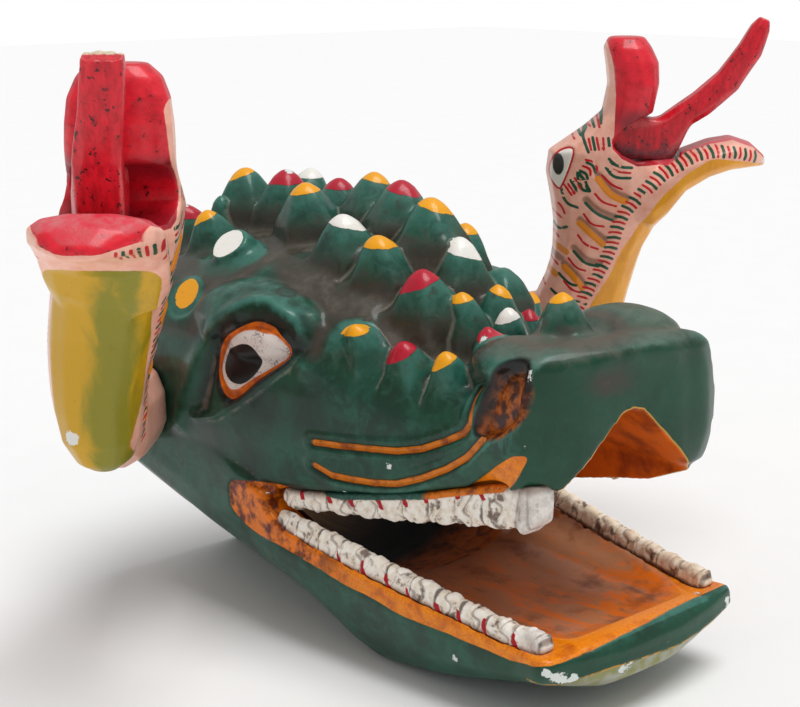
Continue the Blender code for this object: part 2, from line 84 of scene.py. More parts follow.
# Crown spikes: the tip's place, how broad the foot is, the cap's paint and depth, and how far the cap's edge
# slants to the caiman's right, its front and downwards
SPIKES = table(
    "x y z foot tint cap slant_x slant_y",
    (-5, 202, 309, 34, "yellow", 6.2, -0.27, 0.25),
    (-31, 200, 290, 22, "green", 4.7),
    (-60, 207, 285, 32, "crimson", 10.9),
    (-68, 166, 286, 32, "yellow", 7, -0.4, 0.35),
    (-76, 123, 277, 34, "white", -9),
    (-113, 129, 239, 26, "yellow", -9),
    (-3, 153, 312, 33, "crimson", 10.9),
    (-29, 97, 310, 34, "yellow", 7.8, -0.13, 0.11),
    (-42, 40, 295, 35, "white", 8.6, 0.14, -0.13),
    (-42, 3, 285, 33, "yellow", 8.6),
    (-40, -40, 267, 34, "crimson", 10.9, -0.3, 0.25),
    (-27, -65, 254, 26, "yellow", 7, -0.15, 0.13),
    (-44, -106, 240, 24, "crimson", 9.4),
    (12, 108, 309, 31, "crimson", 8.6),
    (13, 69, 317, 32, "yellow", 7, 0.16, -0.15),
    (8, 34, 315, 34, "crimson", 9.4, 0.16, -0.15),
    (3, -2, 307, 35, "yellow", 8, 0.22, -0.2),
    (3, -31, 283, 32, "white", 12, 0.2, -0.17),
    (5, -67, 255, 26, "yellow", 7, 0.27, -0.24),
    (-17, -98, 248, 22, "white", 10.1, -0.2, 0.2),
    (22, -80, 238, 22, "crimson", 7.8),
    (-85, -23, 234, 27, "yellow", 7.8, -0.19, 0.17),
    (-71, -55, 226, 28, "crimson", 11, -0.5, 0.35),
    (-64, -88, 224, 26, "yellow", 9.4, -0.45, 0.4),
    (-14, -142, 264, 27, "yellow", 6.2, -0.12, 0.11),
    (36, 171, 308, 32, "white", 7.8),
    (62, 201, 285, 32, "crimson", 9.4),
    (74, 159, 285, 32, "yellow", 7.8),
    (78, 116, 277, 34, "white", 7.8),
    (113, 130, 239, 26, "yellow", 9.4),
    (48, 77, 298, 31, "crimson", 9.4),
    (51, 35, 289, 31, "white", 8.6),
    (42, 3, 284, 31, "yellow", 7.8),
    (39, -39, 265, 32, "green", -9),
    (85, -23, 232, 27, "yellow", 7.8),
    (73, -54, 224, 28, "crimson", 9.4),
    (65, -88, 222, 26, "yellow", 7.8),
)
# Two spikes near the brow are sawn off on a slant, and their cap is an oval on the cut
SAWN_CAPS = table("x y z tint across nx ny nz", (-80.4, 124.1, 267, "white", 13, -0.64, -0.05, 0.77),
                  (-112.9, 130.1, 233.7, "yellow", 11.5, -0.85, -0.04, 0.51))
LOW_SPIKE = (39, -39, 262)
SPIKE_SPLAY = 0.55
SPIKE_DEPTH = 62.0
SPIKE_WIDTHS = ((0, 0.09), (3, 0.24), (9, 0.38), (31, 0.9), (62, 1.1))

# Slices of the vault under the palate, the mouth's floor and the hollow for the face
PALATE = table("y half apex low", (-219, 55, 196, 110), (-139, 55, 190, 110), (-89, 57, 178, 104),
               (-49, 60, 178, 100), (-9, 64, 182, 100))
PALATE_SPRING_Z = 143.0
FLOOR = table("y half low", (-193, 64, 49), (-169, 74, 42), (-119, 80, 39), (-69, 86, 41), (-19, 92, 44))
FLOOR_EDGE_Z = 62.0
FLOOR_BOWL = ((1, 1), (0.93, 0.72), (0.75, 0.3), (0.45, 0.06), (0, 0))
HOLLOW = table("y half z_mid top low", (-35, 78, 88, 160, 46), (-19, 82, 95, 185, 40), (11, 87, 110, 212, 31),
               (51, 95, 130, 238, 25), (101, 105, 145, 250, 24), (161, 111, 150, 250, 26),
               (231, 112, 150, 245, 30))

# Places on the head's right side, in millimetres; the left side mirrors them
EYE_RIM = ((-125, 82, 194), (-126, 76, 208), (-129, 58, 219), (-127, 45, 226), (-124, 37, 228),
           (-121, 26, 227), (-115, 18, 221), (-110, 14, 212), (-108, 18, 205), (-114, 31, 195),
           (-118, 45, 185), (-120, 59, 173), (-121, 70, 167), (-123, 77, 172), (-125, 79, 182))
EYE_WHITE = ((-124, 76, 195), (-126, 67, 208), (-129, 50, 220), (-125, 38, 223), (-121, 26, 222),
             (-116, 18, 217), (-108, 17, 207), (-113, 31, 197), (-119, 49, 186), (-121, 66, 174),
             (-123, 74, 181))
PUPIL = ((-123, 72, 196), (-124, 67, 205), (-128, 55, 210), (-127, 46, 214), (-125, 39, 214), (-122, 35, 209),
         (-119, 37, 202), (-117, 41, 195), (-118, 50, 186), (-120, 58, 181), (-122, 66, 182), (-123, 71, 188))
BROW_RIDGE = ((-123, 130, 141), (-125, 121, 158), (-127, 107, 180), (-126, 94, 201), (-129, 73, 221),
              (-126, 58, 233), (-118, 47, 240), (-112, 34, 241), (-110, 17, 233), (-107, 8, 217),
              (-104, 6, 203))
LOWER_LID = ((-123, 110, 148), (-122, 86, 154), (-121, 68, 165), (-118, 49, 178), (-114, 32, 191),
             (-108, 17, 204), (-105, 11, 211))
EYE_HOLLOW = ((-124, 101, 160), (-125, 93, 175), (-126, 87, 190), (-127, 79, 208), (-127, 64, 222),
              (-126, 48, 230), (-120, 30, 233), (-113, 15, 226), (-108, 9, 214))
# The two grooves on the cheek, as y and z
GROOVES = (
    ((-1, 150), (-22, 151), (-45, 153), (-65, 155), (-84, 160), (-103, 169), (-117, 177), (-122, 184),
    (-122, 194), (-120, 206)),
    ((1, 133), (-12, 128), (-28, 128), (-45, 129), (-64, 132), (-84, 140), (-105, 151), (-121, 162),
    (-137, 178), (-145, 192)),
)
NOSTRIL = ((-77, -127, 183), (-78, -132, 199), (-76, -137, 213), (-74, -144, 225), (-72, -155, 232),
           (-70, -166, 231), (-73, -170, 221), (-74, -170, 208), (-76, -168, 196), (-78, -160, 188),
           (-80, -148, 181), (-79, -136, 178))
LIP_PATCH = ((-82, -80, 122), (-80, -91, 127), (-79, -104, 129), (-76, -115, 137), (-76, -131, 149),
             (-78, -145, 160), (-80, -157, 169), (-79, -165, 174), (-76, -171, 173), (-76, -170, 168),
             (-76, -163, 155), (-72, -147, 142), (-74, -131, 130), (-76, -112, 122), (-82, -90, 116))
CORNER_PATCH = ((-116, 78, 107), (-117, 80, 95), (-116, 79, 86), (-116, 71, 80), (-115, 61, 75),
                (-115, 47, 72), (-114, 34, 72), (-113, 21, 70), (-111, 2, 66), (-108, -6, 80),
                (-106, 2, 98), (-106, 26, 112), (-108, 45, 110), (-112, 62, 110))
LIP_SHADE = ((-114, 58, 109), (-106, 45, 108), (-103, 26, 111), (-99, 9, 111), (-94, -17, 113),
             (-88, -41, 115), (-84, -67, 120), (-81, -88, 123), (-76, -116, 130))
KNOT = (-95.0, 35.5, 250.0)
# How far each form on the head is raised or cut, in millimetres
HEAD_CUTS = SimpleNamespace(
    brow=4.5, eye_hollow=6.5, lid=3.0, eye=5.0, eyeball=7.0, nostril=8.5, groove=3.0, groove_bank=1.2,
    lip_patch=2.2, corner_patch=1.4, lip_crease=1.2, band=0.8, chin_edge=1.2, spike=1.3, valley=1.4,
    low_spike=7.0, sawn_spike=5.0)
# Dark cheeks: the middle of each patch, and how broad it is
MURK = ((-118, 38, 168, 26), (-114, 95, 135, 30), (-102, 5, 170, 26), (-110, 60, 128, 26))

# The lower edge of the orange band along the lower jaw's side, then the pale underside's upper edge in front
BAND_EDGE = table("y z", (-201, 52), (-176, 47), (-152, 48), (-120, 50), (-86, 51), (-59, 56), (-36, 58),
                  (-13, 63), (6, 67))
UNDER_EDGE = table("x z", (-93, 41), (-78, 38), (-67, 41), (-39, 41), (-10, 39), (20, 37), (49, 39),
                   (77, 43), (95, 46))

# Where paint has flaked off the head down to the white ground, in spots that are taller than wide
CHIP_SQUASH = (1, 1, 0.8)
CHIPS = table(
    "x y z size",
    (-93, -21, 115, 3.2), (-88, -60, 144, 2.0), (-84, -67, 122, 2.4), (-74, -170, 180, 1.8),
    (-72, -168, 226, 2.6), (-73, -169, 221, 1.8), (-92, -207, 49, 3.5), (-86, -210, 44, 4.2),
    (-80, -211, 41, 4.4), (-72, -212, 40, 3.6), (-31, -216, 36, 3.2), (-25, -217, 37, 2.4),
    (86, -206, 41, 4.0), (84, -208, 47, 3.6), (-52, -110, 234, 3.0), (-108, 46, 104, 1.6),
    (-92, -60, 28, 2.0), (-93, -95, 34, 2.4), (-94, -130, 33, 2.0), (-95, -170, 38, 2.2),
    (-101, -30, 118, 1.4), (-3, 150, 309, 3.4), (-60, 205, 282, 2.0), (-30, -195, 64, 1.6),
    (64, -200, 58, 2.6), (30, -203, 57, 2.4), (60, -202, 58, 1.4), (-13, -210, 54, 2.0),
    (-41, -205, 56, 1.4), (-94, -45, 114, 2.4), (-84, -80, 119, 1.6),
)

# Teeth: each strip's notches lie a pitch apart from the first one forwards, with a swell on both sides; the
# red strokes lie between two places along y, outside the strip's walls; forward of white the paint is whiter
TEETH = {
    "upper": SimpleNamespace(
        first=37.0, pitch=21.2, up=-1, corner=13.0, swell=1.2, strokes=(-136, 30), white=-160,
        walls=table("y x", (-175, 62), (-147, 66), (-87, 77), (37, 96)),
        root=table("y z", (-175, 153), (-147, 149), (-119, 141), (-87, 131), (-44, 121), (-3, 113),
                   (37, 108))),
    "lower": SimpleNamespace(
        first=35.0, pitch=20.9, up=1, corner=8.0, swell=1.9, strokes=(-184, -24), white=-182,
        walls=table("y x", (-195, 79), (-113, 88), (35, 103)),
        root=table("y z", (-195, 51), (-162, 54), (-113, 59), (-63, 65), (-18, 70), (35, 79))),
}

# Snakes: s runs out along the snake's head, z is up
SNAKE_X = 232.0
SNAKE_Y = 14.0
SNAKE_TURN = math.radians(43)
JAW_BACK = table("z s", (300, -14), (339, -12.6), (365, -12), (386, -14), (407, -20), (415, -24))
MOUTH_LOW = table("s z", (-18, 332), (-13, 323), (-6, 316), (6, 310), (30, 310), (45, 320), (63, 326.5),
                  (80, 329.5), (96, 324), (107, 314), (114, 308))
JAW_HALF = table("z half", (337, 35), (350, 34), (372, 33), (388, 31), (400, 26), (408, 18))
JAW_LEAN = -4.0
THROAT = table("z lean half", (165, -30, 21), (190, -28, 26), (237, -22, 31), (285, -11, 37))
BELLY = ((94, 313), (81, 315.5), (68, 317), (61, 316), (53, 311), (43, 304), (36, 297), (28, 289), (22, 281),
         (16, 271), (9, 261), (4, 252), (-3, 241), (-7, 231), (-12, 218), (-18, 208), (-25, 195), (-33, 178),
         (-40, 140), (150, 140), (150, 308), (112, 309))
EDGE_ROW = ((100, 316), (82, 321), (65, 322), (52, 319), (39, 312), (26, 304), (16, 293), (6, 283), (-2, 273),
            (-5, 266), (-8, 257), (-10, 247), (-12, 240), (-16, 230), (-21, 220), (-26, 210), (-31, 200),
            (-37, 188), (-43, 172), (-48, 160))
EDGE_PITCH = 4.4
SNAKE_CUTS = SimpleNamespace(jaw_dish=4.0, gouge=1.8, bank=1.0, eye_ring=1.2)
SNAKE_EYE = ((-44, 324), (-50, 323), (-57, 319), (-61.5, 311), (-62.5, 301), (-59, 294), (-53.5, 289),
             (-51, 294), (-47.5, 304), (-45, 312), (-43, 320))
BELLY_PAINTS = {"right": ((206, 158, 14), (138, 132, 24)), "left": ((250, 172, 34), (228, 148, 28))}
SNAKE_PUPIL = table("s z half tall", (-55, 310, 4.4, 8.6))[0]
STROKES = {
    "red": (
        ((-34, 315), (-28, 314), (-25, 310), (-25, 306)), ((-36, 310), (-30, 308), (-30, 303)),
        ((-16, 312), (-12, 306), (1, 305)), ((-21, 303), (-13, 295), (-5, 292)),
        ((-26, 288), (-20, 281), (-9, 278)), ((-34, 271), (-28, 262), (-18, 261)),
        ((-38, 253), (-32, 245), (-22, 242)), ((-45, 233), (-39, 225), (-31, 223)),
        ((-54, 278), (-51, 275), (-49, 270)), ((-58, 271), (-51, 266)), ((-57, 253), (-51, 248)),
        ((-66, 212), (-63, 208)), ((-50, 294), (-44, 286)), ((-47, 295), (-41, 287)),
        ((-42, 300), (-37, 291)), ((-32, 331), (-30, 323)), ((-26, 332), (-24, 323)),
        ((-21, 332), (-20, 323)), ((-26, 349), (-24, 340)), ((-36, 341), (-31, 340)),
        ((-46, 334), (-43, 330)), ((-57, 328), (-57, 325)), ((-48, 213), (-42, 206), (-35, 204)),
        ((-60, 232), (-53, 226)), ((-54, 200), (-48, 194), (-41, 192)),
    ),
    "green": (
        ((-33, 313), (-28, 311), (-26, 305)), ((-38, 306), (-33, 304), (-32, 300)),
        ((-40, 304.5), (-36, 301), (-33, 296), (-30, 290)),
        ((-40, 304.5), (-39, 295), (-35, 290), (-30, 290)),
        ((-52, 290), (-50, 282), (-46, 278), (-39, 276)), ((-16, 316), (-10, 310), (2, 309)),
        ((-18, 309), (-12, 301), (1, 301)), ((-33, 280), (-24, 271), (-11, 266)),
        ((-41, 239), (-32, 229), (-21, 227)), ((-57, 260), (-54, 257), (-51, 257), (-47, 259)),
        ((-34, 339), (-37, 334), (-35, 328), (-32, 321)), ((-45, 298), (-40, 289)),
        ((-29, 332), (-27, 323)), ((-17, 332), (-16, 326)), ((-22, 353), (-23, 343)),
        ((-30, 346), (-28, 340)), ((-41, 337), (-38, 333)), ((-53, 330), (-52, 328)),
        ((-24, 372), (-23, 364)), ((-25, 392), (-24, 384)), ((-52, 219), (-44, 211), (-38, 210)),
        ((-58, 205), (-51, 199), (-44, 197)),
    ),
    "orange": (
        ((-24, 300), (-14, 287), (-2, 282)), ((-37, 263), (-28, 255), (-18, 246)),
        ((-48, 225), (-39, 216), (-33, 208)), ((-58, 244), (-47, 238)), ((-62, 223), (-55, 218)),
        ((-56, 190), (-48, 182), (-42, 176)),
    ),
}
GOUGES = (((-33, 283), (-23, 274), (-10, 269)), ((-41, 242), (-31, 232), (-20, 230)),
          ((-60, 237), (-51, 232)), ((-37, 266), (-27, 258), (-17, 250)), ((-24, 303), (-13, 290), (-1, 285)),
          ((-48, 228), (-38, 219), (-32, 211)))


# Millimetre work on a mesh

def pick_only(obj):
    """Makes one object the only selected one, and active."""
    bpy.ops.object.select_all(action="DESELECT")
    obj.select_set(True)
    bpy.context.view_layer.objects.active = obj


def apply_modifier(obj, kind, **settings):
    pick_only(obj)
    mod = obj.modifiers.new(kind.lower(), kind)
    for name, value in settings.items():
        setattr(mod, name, value)
    bpy.ops.object.modifier_apply(modifier=mod.name)


def fine_copy(node, name, step):
    """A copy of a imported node, with its loose triangles merged and its surface remeshed in even steps."""
    obj = bpy.data.objects.new(name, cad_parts[node].data.copy())
    bpy.context.scene.collection.objects.link(obj)
    pick_only(obj)
    bpy.ops.object.mode_set(mode="EDIT")
    bpy.ops.mesh.select_all(action="SELECT")
    bpy.ops.mesh.remove_doubles(threshold=0.00002)
    bpy.ops.object.mode_set(mode="OBJECT")
    obj.data.materials.clear()
    apply_modifier(obj, "REMESH", mode="VOXEL", voxel_size=step, adaptivity=0)
    return obj


def read(items, name, size, kind=np.float32):
    """A property of every vertex or edge, a row each."""
    out = np.empty(len(items) * size, kind)
    items.foreach_get(name, out)
    return out.reshape(-1, size)


def get_points(obj):
    """Every vertex's place in millimetres."""
    return read(obj.data.vertices, "co", 3).astype(float) / MM


def get_normals(obj):
    return read(obj.data.vertex_normals, "vector", 3).astype(float)


def get_edges(obj):
    return read(obj.data.edges, "vertices", 2, np.int32)


def set_points(obj, points):
    obj.data.vertices.foreach_set("co", (points * MM).astype(np.float32).ravel())
    obj.data.update()


def relax(values, edges, rounds=1, share=0.5):
    """Draws each vertex's value towards the mean of its neighbours'."""
    count = len(values)
    a, b = edges.T
    links = np.maximum(np.bincount(a, minlength=count) + np.bincount(b, minlength=count), 1)
    flat = values.reshape(count, -1).astype(float)
    share = np.asarray(share, float).reshape(-1, 1)
    for _ in range(rounds):
        mean = np.stack([
            np.bincount(a, weights=col[b], minlength=count) + np.bincount(b, weights=col[a], minlength=count)
            for col in flat.T], axis=1) / links[:, None]
        flat = flat + share * (mean - flat)
    return flat.reshape(values.shape)


def smooth(obj, rounds, share=0.5):
    set_points(obj, relax(get_points(obj), get_edges(obj), rounds, share))


def carve(obj, lift, rounds=2):
    """Raises or cuts each point along the smoothed normal."""
    normals = relax(get_normals(obj), get_edges(obj), rounds)
    normals /= np.maximum(np.linalg.norm(normals, axis=1, keepdims=True), 1e-6)
    set_points(obj, get_points(obj) + normals * lift[:, None])


def bulge(points, smoothed, normals, edges, rounds):
    """How far each point lies inside its smoothed surface: above 0 in a hollow, below 0 on an edge."""
    return relax(((smoothed - points) * normals).sum(axis=1), edges, rounds)


def thin_out(obj, triangles):
    """Brings a mesh under a number of triangles, and reads it again."""
    count = sum(len(f.vertices) - 2 for f in obj.data.polygons)
    if count > triangles:
        apply_modifier(obj, "DECIMATE", ratio=triangles / count)
    return get_points(obj), get_normals(obj), get_edges(obj)


def write_fields(obj, **fields):
    """Keeps numbers or colours at every vertex under a name, for the paint to read."""
    for name, values in fields.items():
        kind, slot = "FLOAT", "value"
        if np.ndim(values) == 2:
            kind, slot = "FLOAT_COLOR", "color"
            values = np.column_stack([values, np.ones(len(values))])
        field = obj.data.attributes.new(name, kind, "POINT")
        field.data.foreach_set(slot, values.astype(np.float32).ravel())


def ramp(values, low, high):
    """0 at low, 1 at high, and smooth in between."""
    t = np.clip((values - low) / (high - low), 0, 1)
    return t * t * (3 - 2 * t)


def bell(values, width):
    return np.exp(-(values / width) ** 2)


def gap_to(points, place):
    """How far each point is from one place."""
    return np.linalg.norm(points - place, axis=1)


def along(rows, name, place, key="y"):
    """A column of a table of slices, read at each place."""
    order = np.argsort(column(rows, key))
    return np.interp(place, column(rows, key)[order], column(rows, name)[order])


def path_distance(points, path):
    """How far each point is from a path."""
    best = np.full(len(points), 1e9)
    path = np.asarray(path, float)
    for a, b in zip(path, path[1:]):
        run = b - a
        t = np.clip((points - a) @ run / (run @ run), 0, 1)
        best = np.minimum(best, np.linalg.norm(points - (a + t[:, None] * run), axis=1))
    return best


def rounded(path, closed=True):
    """A path whose corners are cut twice, so that it is smooth."""
    path = np.asarray(path, float)
    for _ in range(2):
        a, b = (path, np.roll(path, -1, axis=0)) if closed else (path[:-1], path[1:])
        cut = np.stack([a * 0.75 + b * 0.25, a * 0.25 + b * 0.75], axis=1).reshape(-1, path.shape[1])
        path = cut if closed else np.vstack([path[:1], cut[1:-1], path[-1:]])
    return path


def strokes_distance(points, strokes, reach=8.0):
    """How far each point is from the nearest of many short strokes, up to reach."""
    best = np.full(len(points), reach)
    for stroke in strokes:
        path = rounded(stroke, closed=False)
        low, high = np.min(path, axis=0) - reach, np.max(path, axis=0) + reach
        near = np.flatnonzero(((points > low) & (points < high)).all(axis=1))
        best[near] = np.minimum(best[near], path_distance(points[near], path))
    return best


def ring_depth(flat, ring):
    """How far each flat point lies inside a closed ring; negative outside it."""
    inside = np.zeros(len(flat), bool)
    for (ax, ay), (bx, by) in zip(ring, np.roll(ring, -1, axis=0)):
        if ay != by:
            crosses = (ay > flat[:, 1]) != (by > flat[:, 1])
            inside ^= crosses & (flat[:, 0] < ax + (flat[:, 1] - ay) * (bx - ax) / (by - ay))
    gap = path_distance(flat, np.vstack([ring, ring[:1]]))
    return np.where(inside, gap, -gap)


def outline_depth(points, outline, reach=40.0):
    """How far each point lies inside a closed outline seen square on; negative outside it."""
    outline = rounded(outline)
    centre = outline.mean(axis=0)
    axes = np.linalg.svd(outline - centre)[2]
    off = np.abs((points - centre) @ axes[2])
    depth = ring_depth((points - centre) @ axes[:2].T, (outline - centre) @ axes[:2].T)
    return depth - np.maximum(off - reach, 0)


def section_depth(across, height, corners):
    """How far a point lies inside a slice given corner by corner; the corners vary along the mask."""
    depth = np.full(len(across), 1e9)
    for (ax, az), (bx, bz) in zip(corners, corners[1:]):
        ax, az, bx, bz = (np.broadcast_to(v, across.shape) for v in (ax, az, bx, bz))
        size = np.hypot(bx - ax, bz - az)
        depth = np.minimum(depth, ((height - az) * (bx - ax) - (across - ax) * (bz - az)) / -size)
    return depth


# Paint and wood

class Value:
    """A number in a material; sums and products of values add Math nodes."""

    def __init__(self, finish, socket):
        self.finish = finish
        self.socket = socket

    def math(self, operation, other):
        return self.finish.value("ShaderNodeMath", {"operation": operation}, {0: self, 1: other})

    def __add__(self, other):
        return self.math("ADD", other)

    def __mul__(self, other):
        return self.math("MULTIPLY", other)

    __radd__, __rmul__ = __add__, __mul__

    def __sub__(self, other):
        return self.math("SUBTRACT", other)

    def __rsub__(self, other):
        return self * -1 + other

    def larger(self, other):
        return self.math("MAXIMUM", other)

    def between(self, low, high):
        """0 at low, 1 at high, smooth in between."""
        inputs = {"Value": self, "From Min": low, "From Max": high}
        return self.finish.value("ShaderNodeMapRange", {"interpolation_type": "SMOOTHSTEP"}, inputs)


class Finish:
    """One material built from values, fields and noise. A tuple is a paint from 0 to 255; a list is light."""

    def __init__(self, name):
        self.material = bpy.data.materials.new(name)
        self.material.use_nodes = True
        self.tree = self.material.node_tree
        self.shader = self.tree.nodes["Principled BSDF"]
        self.place = self.add("ShaderNodeTexCoord").outputs["Object"]
        self.color = None

    def add(self, kind, settings=None, inputs=None):
        node = self.tree.nodes.new(kind)
        for name, value in (settings or {}).items():
            setattr(node, name, value)
        for name, value in (inputs or {}).items():
            self.put(node.inputs[name], value)
        return node

    def put(self, socket, value):
        if isinstance(value, Value):
            value = value.socket
        if isinstance(value, bpy.types.NodeSocket):
            self.tree.links.new(value, socket)
        elif socket.type == "RGBA":
            socket.default_value = (*(paint(*value) if isinstance(value, tuple) else value), 1)
        else:
            socket.default_value = value

    def value(self, kind, settings=None, inputs=None, output=0):
        return Value(self, self.add(kind, settings, inputs).outputs[output])

    def field(self, name):
        return self.value("ShaderNodeAttribute", {"attribute_name": name}, output="Fac")

    def axis(self, name):
        """How far along x, y or z a point is, in metres."""
        return self.value("ShaderNodeSeparateXYZ", {}, {"Vector": self.place}, name)

    def stretched(self, x, y, z):
        """The place, stretched along each axis, for streaks and grain."""
        return self.add("ShaderNodeMapping", {}, {"Vector": self.place, "Scale": (x, y, z)}).outputs["Vector"]

    def noise(self, size, detail=4, rough=0.6, bend=0.0, place=None):
        """Soft noise whose blotches are about size millimetres across, from 0 to 1."""
        inputs = {"Vector": place or self.place, "Scale": 1 / (size * MM), "Detail": detail,
                  "Roughness": rough, "Distortion": bend}
        return self.value("ShaderNodeTexNoise", {}, inputs)

    def mix(self, share, a, b, how="MIX"):
        settings = {"data_type": "RGBA", "blend_type": how}
        return self.add("ShaderNodeMix", settings, {0: share, 6: a, 7: b}).outputs[2]

    def patches(self, size, low, high, a, b, rough=0.55):
        """Two paints that cloud into each other."""
        return self.mix(self.noise(size, 4, rough).between(low, high), a, b)

    def over(self, share, tint):
        """Lays a paint over what is there."""
        self.color = self.mix(share, self.color, tint)

    def mask(self, name, wobble=0.0, soft=0.35):
        """1 inside a painted field and 0 outside, with a hand-brushed edge; wobble is in millimetres."""
        return (self.field(name) + wobble).between(-soft, soft)

    def chips(self, tint):
        """Flakes the paint off to its white ground."""
        chip = (self.field("chip") + (self.noise(3, 3, 0.7) - 0.5) * 7).between(-0.3, 0.3)
        self.over(chip, tint)
        return chip

    def close(self, rough, height=None, depth=0.0008, coat=0.0, spec=0.3):
        """Feeds the shader."""
        self.put(self.shader.inputs["Base Color"], self.color)
        self.put(self.shader.inputs["Roughness"], rough)
        self.put(self.shader.inputs["Coat Weight"], coat)
        self.shader.inputs["Coat Roughness"].default_value = 0.16
        self.shader.inputs["Specular IOR Level"].default_value = spec
        if height is not None:
            bump = self.add("ShaderNodeBump", {}, {"Height": height, "Distance": depth, "Strength": 1.0})
            self.put(self.shader.inputs["Normal"], bump.outputs["Normal"])
        return self.material


def settle(piece, node, material):
    """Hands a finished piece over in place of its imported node."""
    pick_only(piece)
    bpy.ops.object.shade_smooth()
    piece.data.materials.append(material)
    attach(piece, "root")
    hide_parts(node)


# The caiman's head

def right_side(points):
    """The same places on the right side; the nose is cut askew, so its left half is turned back."""
    out = points.copy()
    left = (points[:, 0] > 0) & (points[:, 1] < -124) & (points[:, 2] > 104)
    out[left, 1] += 0.36 * points[left, 0] * ramp(-points[left, 1], 124, 140)
    out[:, 0] = -np.abs(points[:, 0])
    return out


def palate_depth(p):
    half, apex, low = (along(PALATE, n, p[:, 1]) for n in ("half", "apex", "low"))
    spring = PALATE_SPRING_Z + 0 * half
    corners = [(0, apex), (half * 0.14, apex - 2), (half * 0.6, apex * 0.45 + spring * 0.55), (half, spring),
               (half + 2, low), (0 * half, low)]
    return section_depth(-p[:, 0], p[:, 2], corners)


def floor_depth(p):
    half, low = (along(FLOOR, n, p[:, 1]) for n in ("half", "low"))
    rise = FLOOR_EDGE_Z - low
    corners = [(0, 110 + 0 * half), (half * 0.6, 110 + 0 * half), (half + 1, 68 + 0 * half)]
    corners += [(half * wide, low + share * rise) for wide, share in FLOOR_BOWL]
    return section_depth(-p[:, 0], p[:, 2], corners)


def hollow_depth(p):
    half, mid, top, low = (along(HOLLOW, n, p[:, 1]) for n in ("half", "z_mid", "top", "low"))
    tall = np.where(p[:, 2] > mid, top - mid, mid - low)
    share = (np.abs(p[:, 0] / half) ** 2.1 + np.abs((p[:, 2] - mid) / tall) ** 2.1) ** (1 / 2.1)
    return (1 - share) * np.minimum(half, tall)


def sawn_places(p, cut):
    """How far each point lies above a sawn cap's flat cut, and how far from its middle along the cut."""
    way = np.array([cut.nx, cut.ny, cut.nz])
    off = p - (cut.x, cut.y, cut.z)
    above = off @ way
    return above, np.linalg.norm(off - above[:, None] * way, axis=1)


def saw_off(points):
    """Planes the two sawn spikes flat, but for a ripple."""
    for cut in SAWN_CAPS:
        above, gap = sawn_places(points, cut)
        ripple = 0.12 * np.sin(points @ (1.3, 0.9, 0.4)) * np.sin(points @ (-0.7, 1.2, 0.8))
        share = (np.maximum(above, 0) + ripple * (above > -1)) * (1 - ramp(gap, 17, 21)) * (above < 20)
        points = points - share[:, None] * np.array([cut.nx, cut.ny, cut.nz])
    return points


def spike_fields(p):
    """For each point: depth inside its spike's cap, height on the spike, the spike's number, how far its
    foot is, and how far the valley to the next spike is."""
    nearest, second, cap, height = (np.full(len(p), v) for v in (99.0, 99.0, -99.0, 0.0))
    number = np.zeros(len(p), int)
    drops, shares = np.array(SPIKE_WIDTHS).T
    for i, spike in enumerate(SPIKES):
        drop = spike.z - p[:, 2]
        dx = p[:, 0] - spike.x + SPIKE_SPLAY * spike.x / 100 * drop
        dy = p[:, 1] - spike.y
        across = np.hypot(dx, dy)
        width = spike.foot * np.interp(drop, drops, shares)
        gap = across - width + np.maximum(drop - SPIKE_DEPTH, 0) * 2
        closer = gap < nearest
        second = np.where(closer, nearest, np.minimum(second, gap))
        edge = spike.cap + spike.slant_x * (p[:, 0] - spike.x) + spike.slant_y * dy
        nearest[closer] = gap[closer]
        cap[closer] = np.minimum(edge - drop, width + 4 - across)[closer]
        height[closer] = (1 - ramp(drop, 0, 50))[closer]
        number[closer] = i
    for i, cut in enumerate(SAWN_CAPS, len(SPIKES)):
        above, gap = sawn_places(p, cut)
        inside = (above > -12) & (gap < cut.across + 3)
        cap[inside] = np.minimum(above + 9, cut.across - gap)[inside]
        number[inside] = i
    return cap, height * (1 - ramp(nearest, 6, 18)), number, nearest, second - nearest


def groove_distance(p, path):
    """How far each point is from a groove, seen from the side."""
    return path_distance(p[:, 1:], path) + 40 * ramp(-p[:, 0], 60, 45)


def band_height(p):
    """How far each point lies above the lower edge of the jaw's orange band."""
    side = along(BAND_EDGE, "z", p[:, 1])
    front = 53 + 0.028 * (p[:, 0] + 92)
    return p[:, 2] - (side + (front - side) * ramp(-p[:, 1], 198, 206))


def under_depth(points):
    """How far each point lies below the edge of the jaw's pale underside."""
    return along(UNDER_EDGE, "z", points[:, 0], "x") - points[:, 2]


